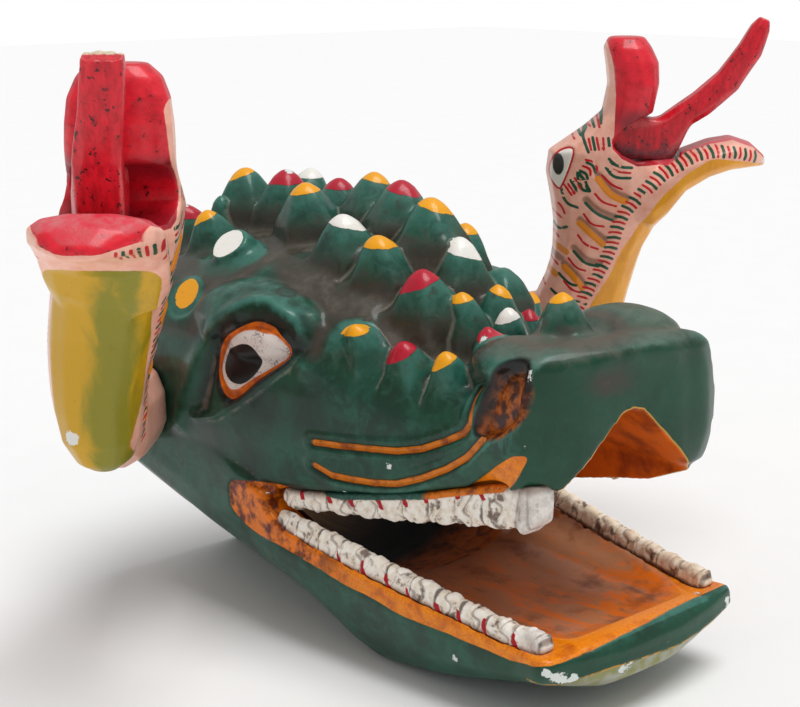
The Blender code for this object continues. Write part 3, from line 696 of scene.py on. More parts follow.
def carve_head(points):
    """Millimetres to raise or cut each point of the head, and the eyeball's swell, which is rounded later."""
    p = right_side(points)
    x, y, z = points[:, 0], p[:, 1], p[:, 2]
    outer = (hollow_depth(p) < -3) | (y < -46)
    outer &= (palate_depth(p) < -2) & (floor_depth(p) < -2)
    eye = outline_depth(p, EYE_RIM, 24)
    cuts = HEAD_CUTS
    lift = cuts.brow * bell(path_distance(p, BROW_RIDGE), 8)
    lift -= cuts.eye_hollow * bell(path_distance(p, EYE_HOLLOW), 6.5)
    lift += cuts.lid * bell(path_distance(p, LOWER_LID), 2.4) * (1 - ramp(eye, -1, 1.5))
    lift -= cuts.eye * ramp(eye, -2.0, 0.8)
    nostril = outline_depth(p, NOSTRIL, 14)
    aside = 1 - ramp(nostril, -1.5, 1.0)
    for path in GROOVES:
        gap = groove_distance(p, path)
        lift -= cuts.groove * (1 - ramp(gap, 1.0, 3.4)) * aside
        lift += cuts.groove_bank * bell(gap - 5.5, 2.4) * aside
    lift -= cuts.nostril * ramp(nostril, -0.8, 4.0)
    lift -= cuts.lip_patch * ramp(outline_depth(p, LIP_PATCH, 12), -1.0, 2.0)
    lift -= cuts.corner_patch * ramp(outline_depth(p, CORNER_PATCH, 22), -0.8, 0.8)
    lift -= cuts.band * ramp(band_height(points), -0.8, 0.8) * (z < 96) * (y < 0)
    lift += cuts.chin_edge * bell(under_depth(points), 2.0) * (y < -196)
    lift -= cuts.lip_crease * bell(path_distance(p, LIP_SHADE), 2.0)
    _, height, _, nearest, valley = spike_fields(points)
    near = 1 - ramp(nearest, 2, 8)
    lift += cuts.spike * ramp(height, 0.5, 0.85) * (1 - 0.6 * ramp(height, 0.94, 1)) * near
    lift -= cuts.valley * bell(valley, 3.0) * near
    lift -= cuts.low_spike * bell(gap_to(points, LOW_SPIKE), 15)
    for cut in SAWN_CAPS:
        lift += cuts.sawn_spike * bell(gap_to(points, (cut.x, cut.y, cut.z - 4)), 15)
    nose = ramp(-y, 158, 172) * ramp(z, 150, 175)
    lift += nose * (2.0 * bell(z - 229, 7) - 1.6 * bell(np.hypot(x - 12, z - 196), 24)
                    + 1.2 * bell(x - 62 + 0.2 * (z - 190), 13) - 0.9 * bell(x - 44, 10))
    return lift * outer, cuts.eyeball * np.sqrt(np.clip(eye / 22, 0, 1)) * outer


def head_fields(head, points, normals, edges):
    """Writes what the head's paint follows."""
    p = right_side(points)
    y, z = p[:, 1], p[:, 2]
    cap, height, number, nearest, valley = spike_fields(points)
    close = relax(points, edges, 3)
    wide = relax(close, edges, 40, 0.6)
    eye = outline_depth(p, EYE_RIM, 18)
    patch = np.maximum(outline_depth(p, LIP_PATCH, 12), outline_depth(p, CORNER_PATCH, 22))
    band = np.minimum(band_height(points), np.minimum(97 - z, 4 - y))
    palate = np.where(z > 96, palate_depth(p) + 1.2, -20)
    ground = np.where(z < 104, floor_depth(p) + 2.0, -20)
    chips = [spot.size - gap_to(points * CHIP_SQUASH, np.array([spot.x, spot.y, spot.z]) * CHIP_SQUASH)
             for spot in CHIPS]
    ring = (np.hypot(p[:, 0] - KNOT[0], y - KNOT[1]) * 0.8) + np.abs(z - KNOT[2]) * 0.3
    write_fields(
        head, cap=cap, spike=height,
        cap_tint=np.array([PAINTS[s.tint] for s in (*SPIKES, *SAWN_CAPS)])[number],
        crown=(1 - ramp(nearest, 14, 34)) * ramp(z, 196, 214),
        valley=valley + np.maximum(nearest - 1, 0) * 1.2,
        # grime: how far each point lies in a broad hollow, where painted shade darkens the skin
        cavity=bulge(points, close, normals, edges, 1), grime=bulge(close, wide, normals, edges, 4),
        upward=relax(normals[:, 2], edges, 4),
        eye_rim=eye, eye_white=outline_depth(p, EYE_WHITE, 18), pupil=outline_depth(p, PUPIL, 18),
        socket=bell(np.minimum(path_distance(p, EYE_HOLLOW), -np.minimum(eye, 0) * 1.5), 7.5),
        lid=1.1 - path_distance(p, LOWER_LID) - 9 * ramp(eye, -1, 1),
        groove=2.1 - np.minimum(*(groove_distance(p, path) for path in GROOVES)),
        nostril=outline_depth(p, NOSTRIL, 14), orange=np.maximum(patch, band),
        under=np.minimum(under_depth(points), -190 - y),
        palate=np.minimum(palate, 4 - y), floor=np.minimum(ground, 203 + y),
        top=ramp(z, 204, 222) * ramp(-y, 112, 132),
        murk=np.max([bell(gap_to(p, spot), size) for *spot, size in MURK], axis=0),
        hollow=hollow_depth(p) + 4 - 40 * ramp(-y, 20, 50),
        shade=4.0 - path_distance(p, LIP_SHADE), knot=7.5 - ring,
        chip=np.maximum(np.max(chips, axis=0), -9))


def finish_head(look):
    f = Finish("head_paint")
    green = list(look.green)
    wob = (f.noise(9, 3, 0.55) - 0.5) * 2.6
    fine, patchy, mid = f.noise(1.5, rough=0.65), f.noise(38), f.noise(10, bend=0.4)
    grit, cloud, drift = fine - 0.5, patchy - 0.5, mid - 0.5
    spike, cavity, grime = (f.field(name) for name in ("spike", "cavity", "grime"))
    crown, upward = f.field("crown"), f.field("upward")
    ahead, up = f.axis("Y") * -1000, f.axis("Z") * 1000
    low = crown * (1 - spike)
    front = ahead.between(140, 176) * (1 - upward.between(0.3, 0.8))
    chin = (1 - up.between(60, 90)) * ahead.between(180, 196)
    # The green skin, with painted highlights and painted shade, smudges, dark cheeks and dust over it
    deep = f.mix(patchy.between(0.35, 0.65), [v * 0.5 for v in green], green)
    f.color = f.mix((mid + patchy * 0.4 - front * 0.1).between(0.6, 1.0), deep, (34, 88, 70))
    # Painted highlight: lighter teal on upward-facing parts, spike tips and convex edges, less in broad
    # hollows
    raised = upward * 0.45 + drift * 0.9 + spike * 0.65 - grime * 0.25 * (1 - crown)
    raised = raised - front * 0.5 - chin * 0.6
    edges = (1 - (cavity + grit * 0.08).between(-0.3, -0.08)) * (0.35 + ahead.between(110, 140) * 0.5)
    f.over((raised + edges * 0.6).between(0.3, 1.15), (62, 118, 104))
    # Dark brown smudges: random dirt, with painted shade in broad hollows and low on the spikes
    smudge_and_shade = drift * 1.5 + cloud * 2.0 + grime * 0.3 * (1 - crown) - front * 0.2 + low * 0.3
    f.over(smudge_and_shade.between(0.12, 0.75) * 0.85, (44, 38, 32))
    f.over(front * 0.5, (12, 66, 42))
    f.over((f.field("murk") + drift * 0.7 + cloud * 0.5).between(0.3, 1.1) * 0.8, (18, 38, 34))
    # Painted shade: brown low on the spikes' flanks and at their feet, clouded by noise
    foot = (low * 1.7 + drift * 1.1 + cloud * 0.7).between(0.45, 1.55)
    f.over(foot * 0.9, (66, 58, 50))
    dusty = (low * 1.4 + drift * 1.2 + cloud * 0.9).between(1.1, 2.0)
    dusty = dusty.larger((f.field("top") * (0.45 + upward * 0.6) + drift * 0.8).between(0.5, 1.2) * 0.8)
    f.over(dusty * 0.75, (110, 106, 96))
    valley = 1 - (f.field("valley") + grit * 1.8).between(0.2, 2.6)
    rim = (cavity + grit * 0.12).between(0.1, 0.28)
    f.over((valley * crown * 0.45).larger(rim * (0.6 - crown * 0.5)), (140, 134, 122))
    knot = f.field("knot") + wob * 0.6
    f.over(knot.between(-0.8, 0.8) * (1 - knot.between(1.2, 4.0) * 0.5) * 0.85, (38, 46, 40))
    # Painted shadow: near black round the eye and in the hollow under the brow
    f.over(f.field("socket").between(0.2, 1.0), (6, 20, 20))
    # Painted highlight: a pale line along the lower lid's edge
    f.over(f.mask("lid", 0, 0.9) * 0.45, (120, 138, 126))
    f.over(f.mask("shade", wob, 2.5) * 0.6, (20, 24, 20))
    # The orange lips, then the mouth's floor, the chin, the palate and the hollow, bare wood with painted
    # shade in front
    bright = f.mix(fine.between(0.3, 0.7), (245, 148, 18), (228, 116, 16))
    tan = f.patches(11, 0.4, 0.64, (232, 120, 16), (96, 34, 16), rough=0.65)
    tan = f.mix(ahead.between(-10, 60), tan, f.patches(9, 0.4, 0.75, bright, (196, 96, 24)))
    f.over(f.mask("orange", wob * 0.4), tan)
    streak = f.noise(14, 5, bend=0.8, place=f.stretched(1, 0.3, 1))
    worn = (streak - ahead.between(70, 200) * 0.22).between(0.24, 0.5)
    ground = f.mix(worn, (244, 122, 24), (196, 136, 98))
    ground = f.mix((f.noise(30) + (streak - 0.5) * 0.6).between(0.48, 0.78) * 0.75, ground, (112, 52, 26))
    ground = f.mix(ahead.between(-20, 70), (134, 80, 54), ground)
    f.over(f.mask("floor", wob * 0.4), f.mix((ahead + drift * 30).between(176, 194), ground, bright))
    under = f.field("under") + wob * 0.3
    ochre = f.mix(drift.between(-0.06, 0.1), (196, 140, 24), (70, 92, 56))
    pale = f.patches(14, 0.35, 0.6, (132, 134, 70), (160, 160, 142))
    f.over(under.between(-0.3, 0.3), f.mix(under.between(0.8, 1.6), ochre, pale))
    palate = f.field("palate") + wob * 0.2
    f.over(palate.between(-1.1, -0.7), (196, 150, 50))
    f.over(palate.between(-0.2, 0.2), f.patches(22, 0.4, 0.75, (212, 98, 20), (128, 50, 22)))
    grain = f.noise(3, bend=0.5, place=f.stretched(1, 0.08, 1))
    bare = f.mix(grain.between(0.3, 0.7), (158, 120, 80), (120, 88, 58))
    # Painted shade: the hollow turns near black towards the front
    bare = f.mix(ahead.between(-205, -70), bare, (9, 7, 6))
    near_floor = (1 - (up + drift * 14).between(76, 98)) * ahead.between(-40, 0)
    bare = f.mix(near_floor, bare, f.mix(mid.between(0.4, 0.7), (176, 92, 36), (96, 50, 28)))
    f.over(f.mask("hollow", wob), bare)
    # Nostril, grooves, eye, caps and chips
    nostril = f.field("nostril") + wob * 0.5
    lean = ahead - up * 0.3
    # Painted shadow: near black along the nostril's top and back and round its rim
    soot = (up + drift * 26).between(206, 226).larger(
        (1 - (lean - 78 + drift * 8).between(-5, 6)) * up.between(184, 194)).larger(
        (1 - nostril.between(0, 2.0)) * (1 - (lean - 88).between(-5, 5)))
    pit = f.mix(mid.between(0.35, 0.6), (180, 92, 18), (60, 26, 18))
    f.over(nostril.between(-3, 0.4), f.mix(soot, pit, (14, 20, 18)))
    edge = f.field("groove") + wob * 0.2 - nostril.between(0.4, 1.4) * 9
    f.over(edge.between(-1.6, -0.2) * 0.6, (30, 34, 30))
    f.over(edge.between(-0.25, 0.25), f.mix(mid.between(0.4, 0.75), (226, 128, 24), (150, 70, 26)))
    rust = f.mix(mid.between(0.35, 0.7), (226, 112, 12), (176, 78, 14))
    white = f.mix((grit + drift * 0.9).between(0.0, 0.22) * 0.85, (222, 212, 204), (122, 108, 112))
    for part, sway, tint in (("eye_rim", 0.15, rust), ("eye_white", 0.15, white), ("pupil", 0.1, (12, 8, 8))):
        f.over(f.mask(part, wob * sway, 0.3), tint)
    cap = f.mask("cap", wob * 0.9, 0.25)
    stain = (f.noise(4, 3, 0.55) - 0.5 + grit * 0.6).between(0.12, 0.3)
    tint = f.add("ShaderNodeAttribute", {"attribute_name": "cap_tint"}).outputs["Color"]
    f.over(cap, f.mix(stain * 0.3, tint, (210, 116, 50), "MULTIPLY"))
    chip = f.chips((226, 232, 226))
    hollow = f.mask("hollow")
    shine = (0.4 - dusty * 0.3 - foot * 0.1 - valley * crown * 0.4).larger(0.02)
    shine = shine * (1 - hollow) * (1 - f.mask("eye_rim") * 0.6)
    rough = 0.34 + fine * 0.12 + dusty * 0.3 + hollow * 0.3
    return f.close(rough, fine * 0.2 + mid * 0.35 + cap * 0.5 - chip * 0.6, coat=shine, spec=0.2)


def build_head(look):
    head = fine_copy("caiman_head", "head_carving", look.carving_step)
    points, edges = get_points(head), get_edges(head)
    crown = 1 - ramp(spike_fields(points)[3], 2, 8)
    set_points(head, relax(relax(points, edges, 7), edges, 13, 0.6 * crown))
    lift, dome = carve_head(get_points(head))
    carve(head, lift + relax(dome, edges, 14), 4)
    set_points(head, relax(saw_off(get_points(head)), edges, 1, 0.4))
    head_fields(head, *thin_out(head, TRIANGLES["head"]))
    settle(head, "caiman_head", finish_head(look))


# Teeth

def finish_teeth(name, kind, old):
    """The paint of one strip; old is how much of it has yellowed."""
    f = Finish(name + "_paint")
    fine, mid, big = f.noise(1.2, rough=0.7), f.noise(6), f.noise(13, 3, 0.5)
    grit, drift, cloud = fine - 0.5, mid - 0.5, big - 0.5
    cream = f.mix(mid.between(0.35, 0.65), (255, 250, 240), (238, 224, 204))
    white = f.mask("white", drift * 10, 2.0)
    cream = f.mix(white * (1 - old), cream, f.mix(mid.between(0.3, 0.6), (240, 236, 228), (214, 206, 198)))
    f.color = f.mix(old, cream, f.mix(mid.between(0.3, 0.65), (254, 240, 218), (240, 214, 180)))
    # Painted shadow: brown along the strip's root
    f.over((1 - (f.field("root") + drift * 6).between(0.5, 6)) * 0.7, (122, 92, 78))
    f.over((f.field("crease") + grit * 0.8 + cloud * 1.2).between(0.3, 1.0) * 0.6, (116, 92, 80))
    f.over((mid * 0.6 + big * 0.7).between(0.69, 0.82) * (1 - white * 0.7) * 0.8, (84, 60, 52))
    f.over((1 - (f.field("notch") + grit * 2.0 + cloud * 6).between(-0.4, 1.0)) * 0.8, (60, 42, 36))
    f.over((grit + drift * 0.8).between(0.14, 0.26) * 0.7, (84, 72, 72))
    f.over(f.mask("stroke", drift * 1.6, 0.25), (178, 14, 34))
    if old:
        # On the yellowed strip, a wider painted shadow along the root
        f.over(1 - (f.field("root") + drift * 4).between(2.5, 6), (118, 92, 76))
    if kind == "upper":
        green = f.mix(fine.between(0.3, 0.7), (58, 104, 92), (40, 78, 68))
        orange = f.mix(mid.between(0.4, 0.7), (228, 122, 20), (130, 60, 24))
        lip = f.mix((f.axis("Y") * -1000).between(84, 90), green, orange)
        f.over(1 - (f.field("lip") + drift * 2).between(4.2, 5.2), lip)
    return f.close(0.42 + fine * 0.2, fine * 0.5 + mid * 0.5, 0.001, coat=0.1)


def tooth_places(points, kind, side):
    """Each point's height over a strip's root, which tooth it is on, how far the nearest notch is, how much
    of the front's fan it has, and the creases across the teeth and down the fan."""
    plan = TEETH[kind]
    y, z = points[:, 1], points[:, 2]
    root = (z - along(plan.root, "z", y)) * plan.up
    turn = (plan.first - y) / plan.pitch
    notch = np.abs(turn - np.round(turn)) * plan.pitch
    front = ramp(-y, 148, 160) if (kind, side) == ("upper", "right") else 0 * y
    crease = np.sin(turn * 17 + 2.5 * np.sin(z * 0.35 + y * 0.2)) * (0.6 + 0.4 * np.sin(turn * 5.3))
    return root, turn, notch, front, crease, np.sin(np.arctan2(y + 168, 175 - z) * 26)


def round_tip(points, plan):
    """Rounds a strip's front end off at its crown's corner."""
    corner = plan.corner
    tip_y = points[:, 1].min() + corner
    tip_z = plan.up * ((plan.up * points[:, 2])[points[:, 1] < tip_y].max() - corner)
    beyond = plan.up * np.maximum(plan.up * (points[:, 2] - tip_z), 0)
    past = np.stack([np.minimum(points[:, 1] - tip_y, 0), beyond], axis=1)
    size = np.linalg.norm(past, axis=1)
    outside = (size > corner) & (np.abs(past) > 0).all(axis=1)
    share = np.where(outside, corner / np.maximum(size, 1e-6), 1)[:, None]
    points[:, 1:] += past * (share - 1)


def build_teeth(kind, side):
    plan = TEETH[kind]
    node = f"{kind}_teeth_{side}"
    strip = fine_copy(node, node + "_carving", TOOTH_STEP)
    points = relax(get_points(strip), get_edges(strip), 40)
    round_tip(points, plan)
    set_points(strip, points)
    root, turn, notch, front, crease, fan = tooth_places(points, kind, side)
    y, z = points[:, 1], points[:, 2]
    lumps = np.sin(y * 0.55 + z * 0.3) * np.sin(z * 0.6 - y * 0.2)
    lumps += 0.6 * np.sin(y * 1.3 + z) * np.sin(z * 1.1)
    lift = 0.22 * lumps - 0.45 * crease + plan.swell * bell(notch, 3.2) - 0.9 * bell(notch, 0.9)
    carve(strip, (lift * (1 - front) + front * 0.8 * fan) * ramp(root, 0, 3))
    points = thin_out(strip, TRIANGLES["strip"])[0]
    root, turn, notch, front, crease, fan = tooth_places(points, kind, side)
    y = points[:, 1]
    tooth = np.round(turn)
    across = (turn - tooth) * plan.pitch + 2.0 * np.sin(tooth * 2.4)
    high = root - 4
    bent = across + plan.up * 0.45 * high - 0.05 * high ** 2 * (plan.up > 0)
    stroke = 2.0 - 0.12 * np.abs(high) - np.abs(bent)
    stroke = np.minimum(stroke, np.minimum(9.0 + 2.5 * np.sin(tooth * 5.1) - root, root + 0.5))
    outer = SIDES[side] * points[:, 0] > along(plan.walls, "x", y)
    painted = outer & (y > plan.strokes[0]) & (y < plan.strokes[1])
    write_fields(
        strip, stroke=np.where(painted, stroke, -5), notch=notch + 6 * front,
        crease=crease * (1 - front) - fan * front * 0.9, root=root,
        lip=root + 12 * front + 9 * ramp(y, -20, 20) + 12 * ~outer, white=(plan.white - y) * 0.5)
    old = 0.85 if (kind, side) == ("lower", "left") else 0.0
    settle(strip, node, finish_teeth(strip.name, kind, old))


# Snakes and tongues

def snake_places(points, side):
    """Each point's place out along a snake, across it, and up."""
    dx = SIDES[side] * points[:, 0] - SNAKE_X
    dy = points[:, 1] - SNAKE_Y
    sin, cos = math.sin(SNAKE_TURN), math.cos(SNAKE_TURN)
    return dx * sin - dy * cos, -dx * cos - dy * sin, points[:, 2]


def edge_strokes(fall):
    """Short curved strokes in turn green and red across a snake's side, along the edge of its belly; on the
    lip they lie lower by fall."""
    row = np.array(EDGE_ROW, float)
    row[:, 1] -= fall * ramp(row[:, 0], 40, 62)
    walked = np.concatenate([[0], np.cumsum(np.linalg.norm(np.diff(row, axis=0), axis=1))])
    out = []
    for spot in np.arange(2, walked[-1], EDGE_PITCH):
        here, ahead = (np.array([np.interp(at, walked, axis) for axis in row.T]) for at in (spot, spot + 3))
        run = (ahead - here) / max(np.linalg.norm(ahead - here), 1e-6)
        across = np.array([-run[1], run[0]]) * (4.0 if spot < 60 else 5.2)
        out.append((here - across + run * 1.6, here, here + across * 0.8 + run * 0.4))
    return out[::2], out[1::2]


def lip_strokes(first):
    """Every second stroke on the front of the near snake's lip, seen square on."""
    return [((place + 1.4, 311.5 + place * 0.05), (place, 307), (place - 0.8, 303.5 + place * 0.06))
            for place in 9.5 + 3.5 * np.arange(first, 9, 2)]


def finish_snake(name, belly_paints, look):
    f = Finish(name + "_paint")
    wob = (f.noise(4, 3, 0.55) - 0.5) * 1.4
    fine, mid = f.noise(1.2, rough=0.65), f.noise(8)
    drift = mid - 0.5
    pink = list(look.pink)
    f.color = f.mix(mid.between(0.35, 0.7), pink, [v * s for v, s in zip(pink, (0.94, 0.8, 0.76))])
    # Painted shade: brown in the carved gouges
    f.over((f.field("gouge") + wob).between(-0.6, 2.0) * 0.75, (136, 92, 70))
    # Darker in small hollows, clouded by noise
    darker_in_hollows = (f.field("cavity") * 2 + (fine - 0.5) * 0.8 + drift * 0.8).between(0.18, 0.5)
    f.over(darker_in_hollows * 0.55, (140, 100, 84))
    for mark, tint in (("orange", (232, 138, 22)), ("green", (24, 84, 62)), ("red", (206, 24, 40))):
        f.over(f.mask(mark, wob * 0.35, 0.22), tint)
    streak = f.noise(18, bend=0.6, place=f.stretched(1, 1, 0.35))
    belly = f.mix((f.field("tone") + (streak - 0.5) * 1.8).between(0.1, 0.9), *belly_paints)
    stain = (f.noise(5, rough=0.7) - 0.5 + drift * 0.8).between(0.16, 0.4)
    f.over(f.mask("belly", wob * 0.6), f.mix(stain * 0.55, belly, (130, 80, 24)))
    f.over(f.mask("eye", wob * 0.3), (200, 24, 34))
    f.over((f.field("eye") - 1.5 + wob * 0.2).between(-0.2, 0.2), (240, 236, 226))
    f.over(f.mask("pupil", wob * 0.2), (14, 12, 12))
    red = f.mix((mid + fine * 0.3).between(0.5, 0.95), (234, 30, 50), (190, 16, 36))
    # Darker red in the mouth's corner and below the throat's step: painted shade
    red = f.mix(f.field("soot").between(0.35, 1.1) * 0.8, red, (84, 30, 38))
    spots = (f.noise(2.6, 3) * 0.7 + mid * 0.5).between(0.72, 0.76)
    red = f.mix(spots * 0.85, red, (40, 18, 22))
    floor = f.mix((mid + fine * 0.3).between(0.45, 0.9), (226, 54, 74), (214, 110, 112))
    f.over(f.mask("mouth", wob * 0.35), f.mix(f.field("up").between(0.6, 0.85), red, floor))
    f.chips((232, 230, 224))
    return f.close(0.32 + fine * 0.16 + darker_in_hollows * 0.2, fine * 0.25 + mid * 0.4, coat=0.35)


def snake_mouth(side, places, normals, edges):
    """How far each point lies inside the red of a snake's mouth, and how far each looks up."""
    s, lean, z = places
    facing = snake_places(normals + (SIDES[side] * SNAKE_X, SNAKE_Y, 0), side)[0]
    up = relax(normals[:, 2], edges, 3)
    mouth = np.minimum(z - along(MOUTH_LOW, "z", s, "s"),
                       s - along(JAW_BACK, "s", z, "z") + 6 * ramp(facing, 0.2, 0.6))
    if side == "right":
        oval = (1 - np.hypot((s - 58) / 55, (lean + 7) / 36.5)) * 36
        mouth = np.where(s > 24, np.minimum(oval, (up + 0.05) * 20), mouth)
        rim = jaw_rim(lean, z) - 2.6 + 6 * ramp(z, 380, 394)
        mouth = np.where((s < 24) & (lean > JAW_LEAN), np.minimum(mouth, rim), mouth)
    return mouth, up


def jaw_rim(lean, z):
    """How far each point lies in from the side rim of a snake's upper jaw."""
    return along(JAW_HALF, "half", z, "z") - np.abs(lean - JAW_LEAN)


def build_snake(side, look):
    name = f"snake_{side}"
    near = side == "right"
    snake = fine_copy(name, name + "_carving", look.snake_step)
    smooth(snake, 9)
    s, lean, z = snake_places(get_points(snake), side)
    flat = np.stack([s, z], axis=1)
    ahead = snake_places(get_normals(snake) + (SIDES[side] * SNAKE_X, SNAKE_Y, 0), side)[0]
    lift = -SNAKE_CUTS.jaw_dish * ramp(jaw_rim(lean, z), 0, 14) * ramp(ahead, 0.3, 0.7) * ramp(z, 330, 362)
    lift *= (1 - ramp(z, 384, 404)) * near
    sideways = 1 - ramp(np.abs(ahead), 0.5, 0.8)
    lift -= SNAKE_CUTS.gouge * bell(strokes_distance(flat, GOUGES), 3.2) * sideways
    lift += SNAKE_CUTS.bank * bell(strokes_distance(flat, STROKES["orange"]), 3.0) * sideways
    ring = np.abs(ring_depth(flat, rounded(SNAKE_EYE)))
    lift -= SNAKE_CUTS.eye_ring * (1 - ramp(ring, 0.3, 1.6)) * sideways
    carve(snake, lift)
    if near:
        smooth(snake, 60, 0.5 * bell(z - 347, 8) * (s < 24))
    points, normals, edges = thin_out(snake, TRIANGLES["snake"])
    s, lean, z = snake_places(points, side)
    flat, face = np.stack([s, z], axis=1), np.stack([lean, z], axis=1)
    middle = along(THROAT, "lean", z, "z")
    belly = ring_depth(flat, np.array(BELLY, float))
    if near:
        flank = along(THROAT, "half", z, "z") - np.abs(lean - middle)
        belly = np.minimum(belly, -5 * np.logaddexp((z - 293) / 5, -flank / 5))
    mouth, up = snake_mouth(side, (s, lean, z), normals, edges)
    for mark, wide, first, row in zip(("green", "red"), (1.2, 0.95), (1, 0), edge_strokes(28 * near)):
        depth = wide - strokes_distance(flat, (*STROKES[mark], *row))
        if near:
            depth -= 9 * ramp(s, 52, 60) * ramp(36 - lean, 0, 3)
            depth = np.maximum(depth, 0.85 - strokes_distance(face, lip_strokes(first)) - 9 * (s < 60))
        write_fields(snake, **{mark: depth})
    tone = ramp(lean - middle, -16, 10) * (1 - 0.7 * ramp(lean - middle, 18, 28)) if near else 0 * s + 0.5
    chip = 5 - np.hypot(lean + 43, z - 174) if near else 3.4 - np.hypot(s - 108, z - 312)
    share = np.hypot((s - SNAKE_PUPIL.s) / SNAKE_PUPIL.half, (z - SNAKE_PUPIL.z) / SNAKE_PUPIL.tall)
    write_fields(
        snake, mouth=mouth, belly=belly, tone=tone, chip=np.maximum(chip, -9), up=up * ramp(s, 8, 24),
        orange=2.6 - strokes_distance(flat, STROKES["orange"]), gouge=3.4 - strokes_distance(flat, GOUGES),
        eye=ring_depth(flat, rounded(SNAKE_EYE)) + 0.6, pupil=(1 - share) * SNAKE_PUPIL.half,
        cavity=bulge(points, relax(points, edges, 4), normals, edges, 2),
        soot=bell(np.hypot(s - 8, z - 322), 24) + 0.6 * bell(z - 348, 12) * (s < 30))
    settle(snake, name, finish_snake(snake.name, BELLY_PAINTS[side], look))


def finish_tongue(name):
    f = Finish(name + "_paint")
    fine, mid = f.noise(1.4, rough=0.65), f.noise(9)
    streak = f.noise(4, bend=0.2, place=f.stretched(1, 1, 0.3))
    f.color = f.mix((streak + mid * 0.4).between(0.5, 0.95), (230, 28, 48), (184, 14, 34))
    f.over((f.field("edge") + (fine - 0.5) * 0.2).between(0.12, 0.3) * 0.6, (232, 110, 112))
    f.over((f.noise(3.2, 3) * 0.7 + mid * 0.5).between(0.70, 0.74) * 0.88, (36, 16, 20))
    # Painted shade: dark at the tongue's root, where it leaves the mouth
    root = (f.field("root") + (mid - 0.5) * 1.6).between(0.2, 1.1)
    f.over(root * 0.8, f.mix(fine.between(0.3, 0.7), (72, 16, 28), (96, 62, 72)))
    tip = (f.field("tip") + (f.noise(3, 3, 0.7) - 0.5) * 2.5).between(-0.4, 0.4)
    f.over(tip, f.mix(fine.between(0.3, 0.7), (238, 226, 200), (200, 176, 140)))
    return f.close(0.3 + fine * 0.14, fine * 0.3 + mid * 0.4, coat=0.35)


def build_tongue(side):
    name = f"tongue_{side}"
    tongue = fine_copy(name, name + "_carving", TONGUE_STEP)
    smooth(tongue, 8)
    _, lean, z = snake_places(get_points(tongue), side)
    lift = 0.3 * np.sin(z * 0.13 + lean * 0.1) + 0.2 * np.sin(lean * 0.4 + z * 0.05)
    if side == "right":
        lift -= 0.25 * ramp(z, 411, 415) * (1 + np.sin(lean * 0.9 + 1))
    carve(tongue, lift)
    points, up = get_points(tongue), get_normals(tongue)[:, 2]
    s, _, z = snake_places(points, side)
    under = ramp(-up, 0, 0.5) * (1 - ramp(s, 32, 50)) * np.maximum(z - 313, 0)
    over = ramp(up, 0, 0.5) * (1 - ramp(s, 8, 34)) * np.maximum(347 - z, 0)
    points[:, 2] += relax(over - under, get_edges(tongue), 10)
    back = -9.0 * (1 - ramp(s, 0, 16)) * (side == "left")
    points[:, 0] += SIDES[side] * math.sin(SNAKE_TURN) * back
    points[:, 1] -= math.cos(SNAKE_TURN) * back
    set_points(tongue, points)
    points, normals, edges = thin_out(tongue, TRIANGLES["tongue"])
    z = points[:, 2]
    write_fields(
        tongue, edge=-bulge(points, relax(points, edges, 10), normals, edges, 1), root=1 - ramp(z, 314, 336),
        tip=z - 416.3 if side == "right" else 0 * z - 9)
    settle(tongue, name, finish_tongue(tongue.name))


def finish_peg(side):
    """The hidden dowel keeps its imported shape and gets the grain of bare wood."""
    f = Finish(f"peg_{side}_wood")
    grain = f.noise(2, bend=0.4, place=f.stretched(0.1, 1, 1))
    f.color = f.mix(grain.between(0.3, 0.7), (176, 136, 92), (138, 98, 62))
    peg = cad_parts[f"peg_{side}"]
    peg.data.materials.clear()
    peg.data.materials.append(f.close(0.65 + grain * 0.15, grain, 0.0003, spec=0.5))


# Floor, light and camera

SKY = SimpleNamespace(light=0.5, seen=1.0)
SUN = SimpleNamespace(strength=1.85, spread=math.radians(34), way=(-0.12, 0.22, -0.97))
CAMERA = SimpleNamespace(
    place=(-0.7524, -0.809, 0.470), turn=math.radians(42), fall=math.radians(14), lens=72)


def build_floor():
    bpy.ops.object.select_all(action="DESELECT")
    bpy.ops.mesh.primitive_plane_add(size=14, location=(0, 0, -0.0002))
    floor = bpy.context.object
    floor.name = "floor"
    bpy.ops.object.transform_apply()
    f = Finish("floor_paper")
    f.color = f.mix(f.noise(60, 2, 0.55), [0.9] * 3, [0.93] * 3)
    floor.data.materials.append(f.close(0.9, spec=0.1))


def aim(name, data, way):
    """A lamp or a camera that looks one way."""
    holder = bpy.data.objects.new(name, data)
    holder.rotation_euler = Vector(way).to_track_quat("-Z", "Y").to_euler()
    bpy.context.scene.collection.objects.link(holder)
    return holder


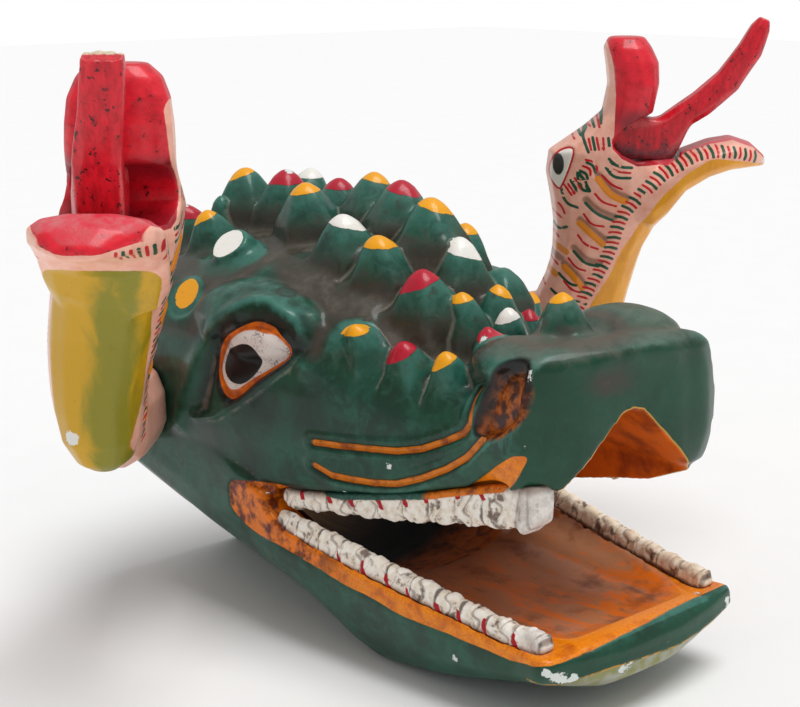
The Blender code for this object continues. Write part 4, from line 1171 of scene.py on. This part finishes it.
def set_stage():
    build_floor()
    scene = bpy.context.scene
    scene.view_settings.view_transform = "Standard"
    scene.world = bpy.data.worlds.new("studio")
    scene.world.use_nodes = True
    tree = scene.world.node_tree
    light = tree.nodes["Background"]
    seen = tree.nodes.new("ShaderNodeBackground")
    either = tree.nodes.new("ShaderNodeMixShader")
    tree.links.new(tree.nodes.new("ShaderNodeLightPath").outputs["Is Camera Ray"], either.inputs[0])
    for i, (node, strength) in enumerate(((light, SKY.light), (seen, SKY.seen)), 1):
        node.inputs["Color"].default_value = (1, 1, 1, 1)
        node.inputs["Strength"].default_value = strength
        tree.links.new(node.outputs[0], either.inputs[i])
    tree.links.new(either.outputs[0], tree.nodes["World Output"].inputs["Surface"])
    lamp = bpy.data.lights.new("studio_light", "SUN")
    lamp.energy = SUN.strength
    lamp.angle = SUN.spread
    aim("studio_light", lamp, SUN.way)
    lens = bpy.data.cameras.new("photo_camera")
    lens.lens = CAMERA.lens
    lens.sensor_width = 36
    level = math.cos(CAMERA.fall)
    way = (math.sin(CAMERA.turn) * level, math.cos(CAMERA.turn) * level, -math.sin(CAMERA.fall))
    scene.camera = aim("photo_camera", lens, way)
    scene.camera.location = CAMERA.place


# The add-on

class MaskLook(bpy.types.PropertyGroup):
    """What a user would change about the mask."""
    carving_step: FloatProperty(
        name="Carving step", description="How fine the head's carved surface is",
        default=0.0017, min=0.001, subtype="DISTANCE", unit="LENGTH")
    snake_step: FloatProperty(
        name="Snake step", description="How fine the snakes' carved surface is",
        default=0.0011, min=0.0008, subtype="DISTANCE", unit="LENGTH")
    green: FloatVectorProperty(
        name="Green", description="Paint of the caiman's skin",
        default=paint(22, 76, 58), min=0, max=1, subtype="COLOR")
    pink: FloatVectorProperty(
        name="Pink", description="Paint of the snakes' skin",
        default=paint(252, 190, 168), min=0, max=1, subtype="COLOR")


class MASK_OT_stage(bpy.types.Operator):
    """Adds the floor, the light and the camera"""
    bl_idname = "mask.stage"
    bl_label = "Stage"

    def execute(self, context):
        set_stage()
        return {"FINISHED"}


class MASK_OT_head(bpy.types.Operator):
    """Carves and paints the caiman's head"""
    bl_idname = "mask.head"
    bl_label = "Head"

    def execute(self, context):
        build_head(context.scene.mask_look)
        return {"FINISHED"}


class MASK_OT_teeth(bpy.types.Operator):
    """Carves and paints the four strips of teeth"""
    bl_idname = "mask.teeth"
    bl_label = "Teeth"

    def execute(self, context):
        for kind in TEETH:
            for side in SIDES:
                build_teeth(kind, side)
        return {"FINISHED"}


class MASK_OT_snakes(bpy.types.Operator):
    """Carves and paints both snakes"""
    bl_idname = "mask.snakes"
    bl_label = "Snakes"

    def execute(self, context):
        for side in SIDES:
            build_snake(side, context.scene.mask_look)
        return {"FINISHED"}


class MASK_OT_tongues(bpy.types.Operator):
    """Carves and paints both tongues"""
    bl_idname = "mask.tongues"
    bl_label = "Tongues"

    def execute(self, context):
        for side in SIDES:
            build_tongue(side)
        return {"FINISHED"}


class MASK_OT_pegs(bpy.types.Operator):
    """Gives both dowels their bare wood"""
    bl_idname = "mask.pegs"
    bl_label = "Dowels"

    def execute(self, context):
        for side in SIDES:
            finish_peg(side)
        return {"FINISHED"}


STEPS = (MASK_OT_stage, MASK_OT_head, MASK_OT_teeth, MASK_OT_snakes, MASK_OT_tongues, MASK_OT_pegs)


class MASK_PT_panel(bpy.types.Panel):
    """Lists the mask's settings and its steps"""
    bl_idname = "MASK_PT_panel"
    bl_label = "Mask"
    bl_space_type = "VIEW_3D"
    bl_region_type = "UI"
    bl_category = "Mask"

    def draw(self, context):
        look = context.scene.mask_look
        for name in ("carving_step", "snake_step", "green", "pink"):
            self.layout.prop(look, name)
        for step in STEPS:
            self.layout.operator(step.bl_idname)


CLASSES = (MaskLook, *STEPS, MASK_PT_panel)


def register():
    for cls in CLASSES:
        bpy.utils.register_class(cls)
    bpy.types.Scene.mask_look = PointerProperty(type=MaskLook)


def unregister():
    del bpy.types.Scene.mask_look
    for cls in reversed(CLASSES):
        bpy.utils.unregister_class(cls)


def main():
    register()
    bpy.ops.mask.stage()
    bpy.ops.mask.head()
    bpy.ops.mask.teeth()
    bpy.ops.mask.snakes()
    bpy.ops.mask.tongues()
    bpy.ops.mask.pegs()


if __name__ == "__main__":
    main()
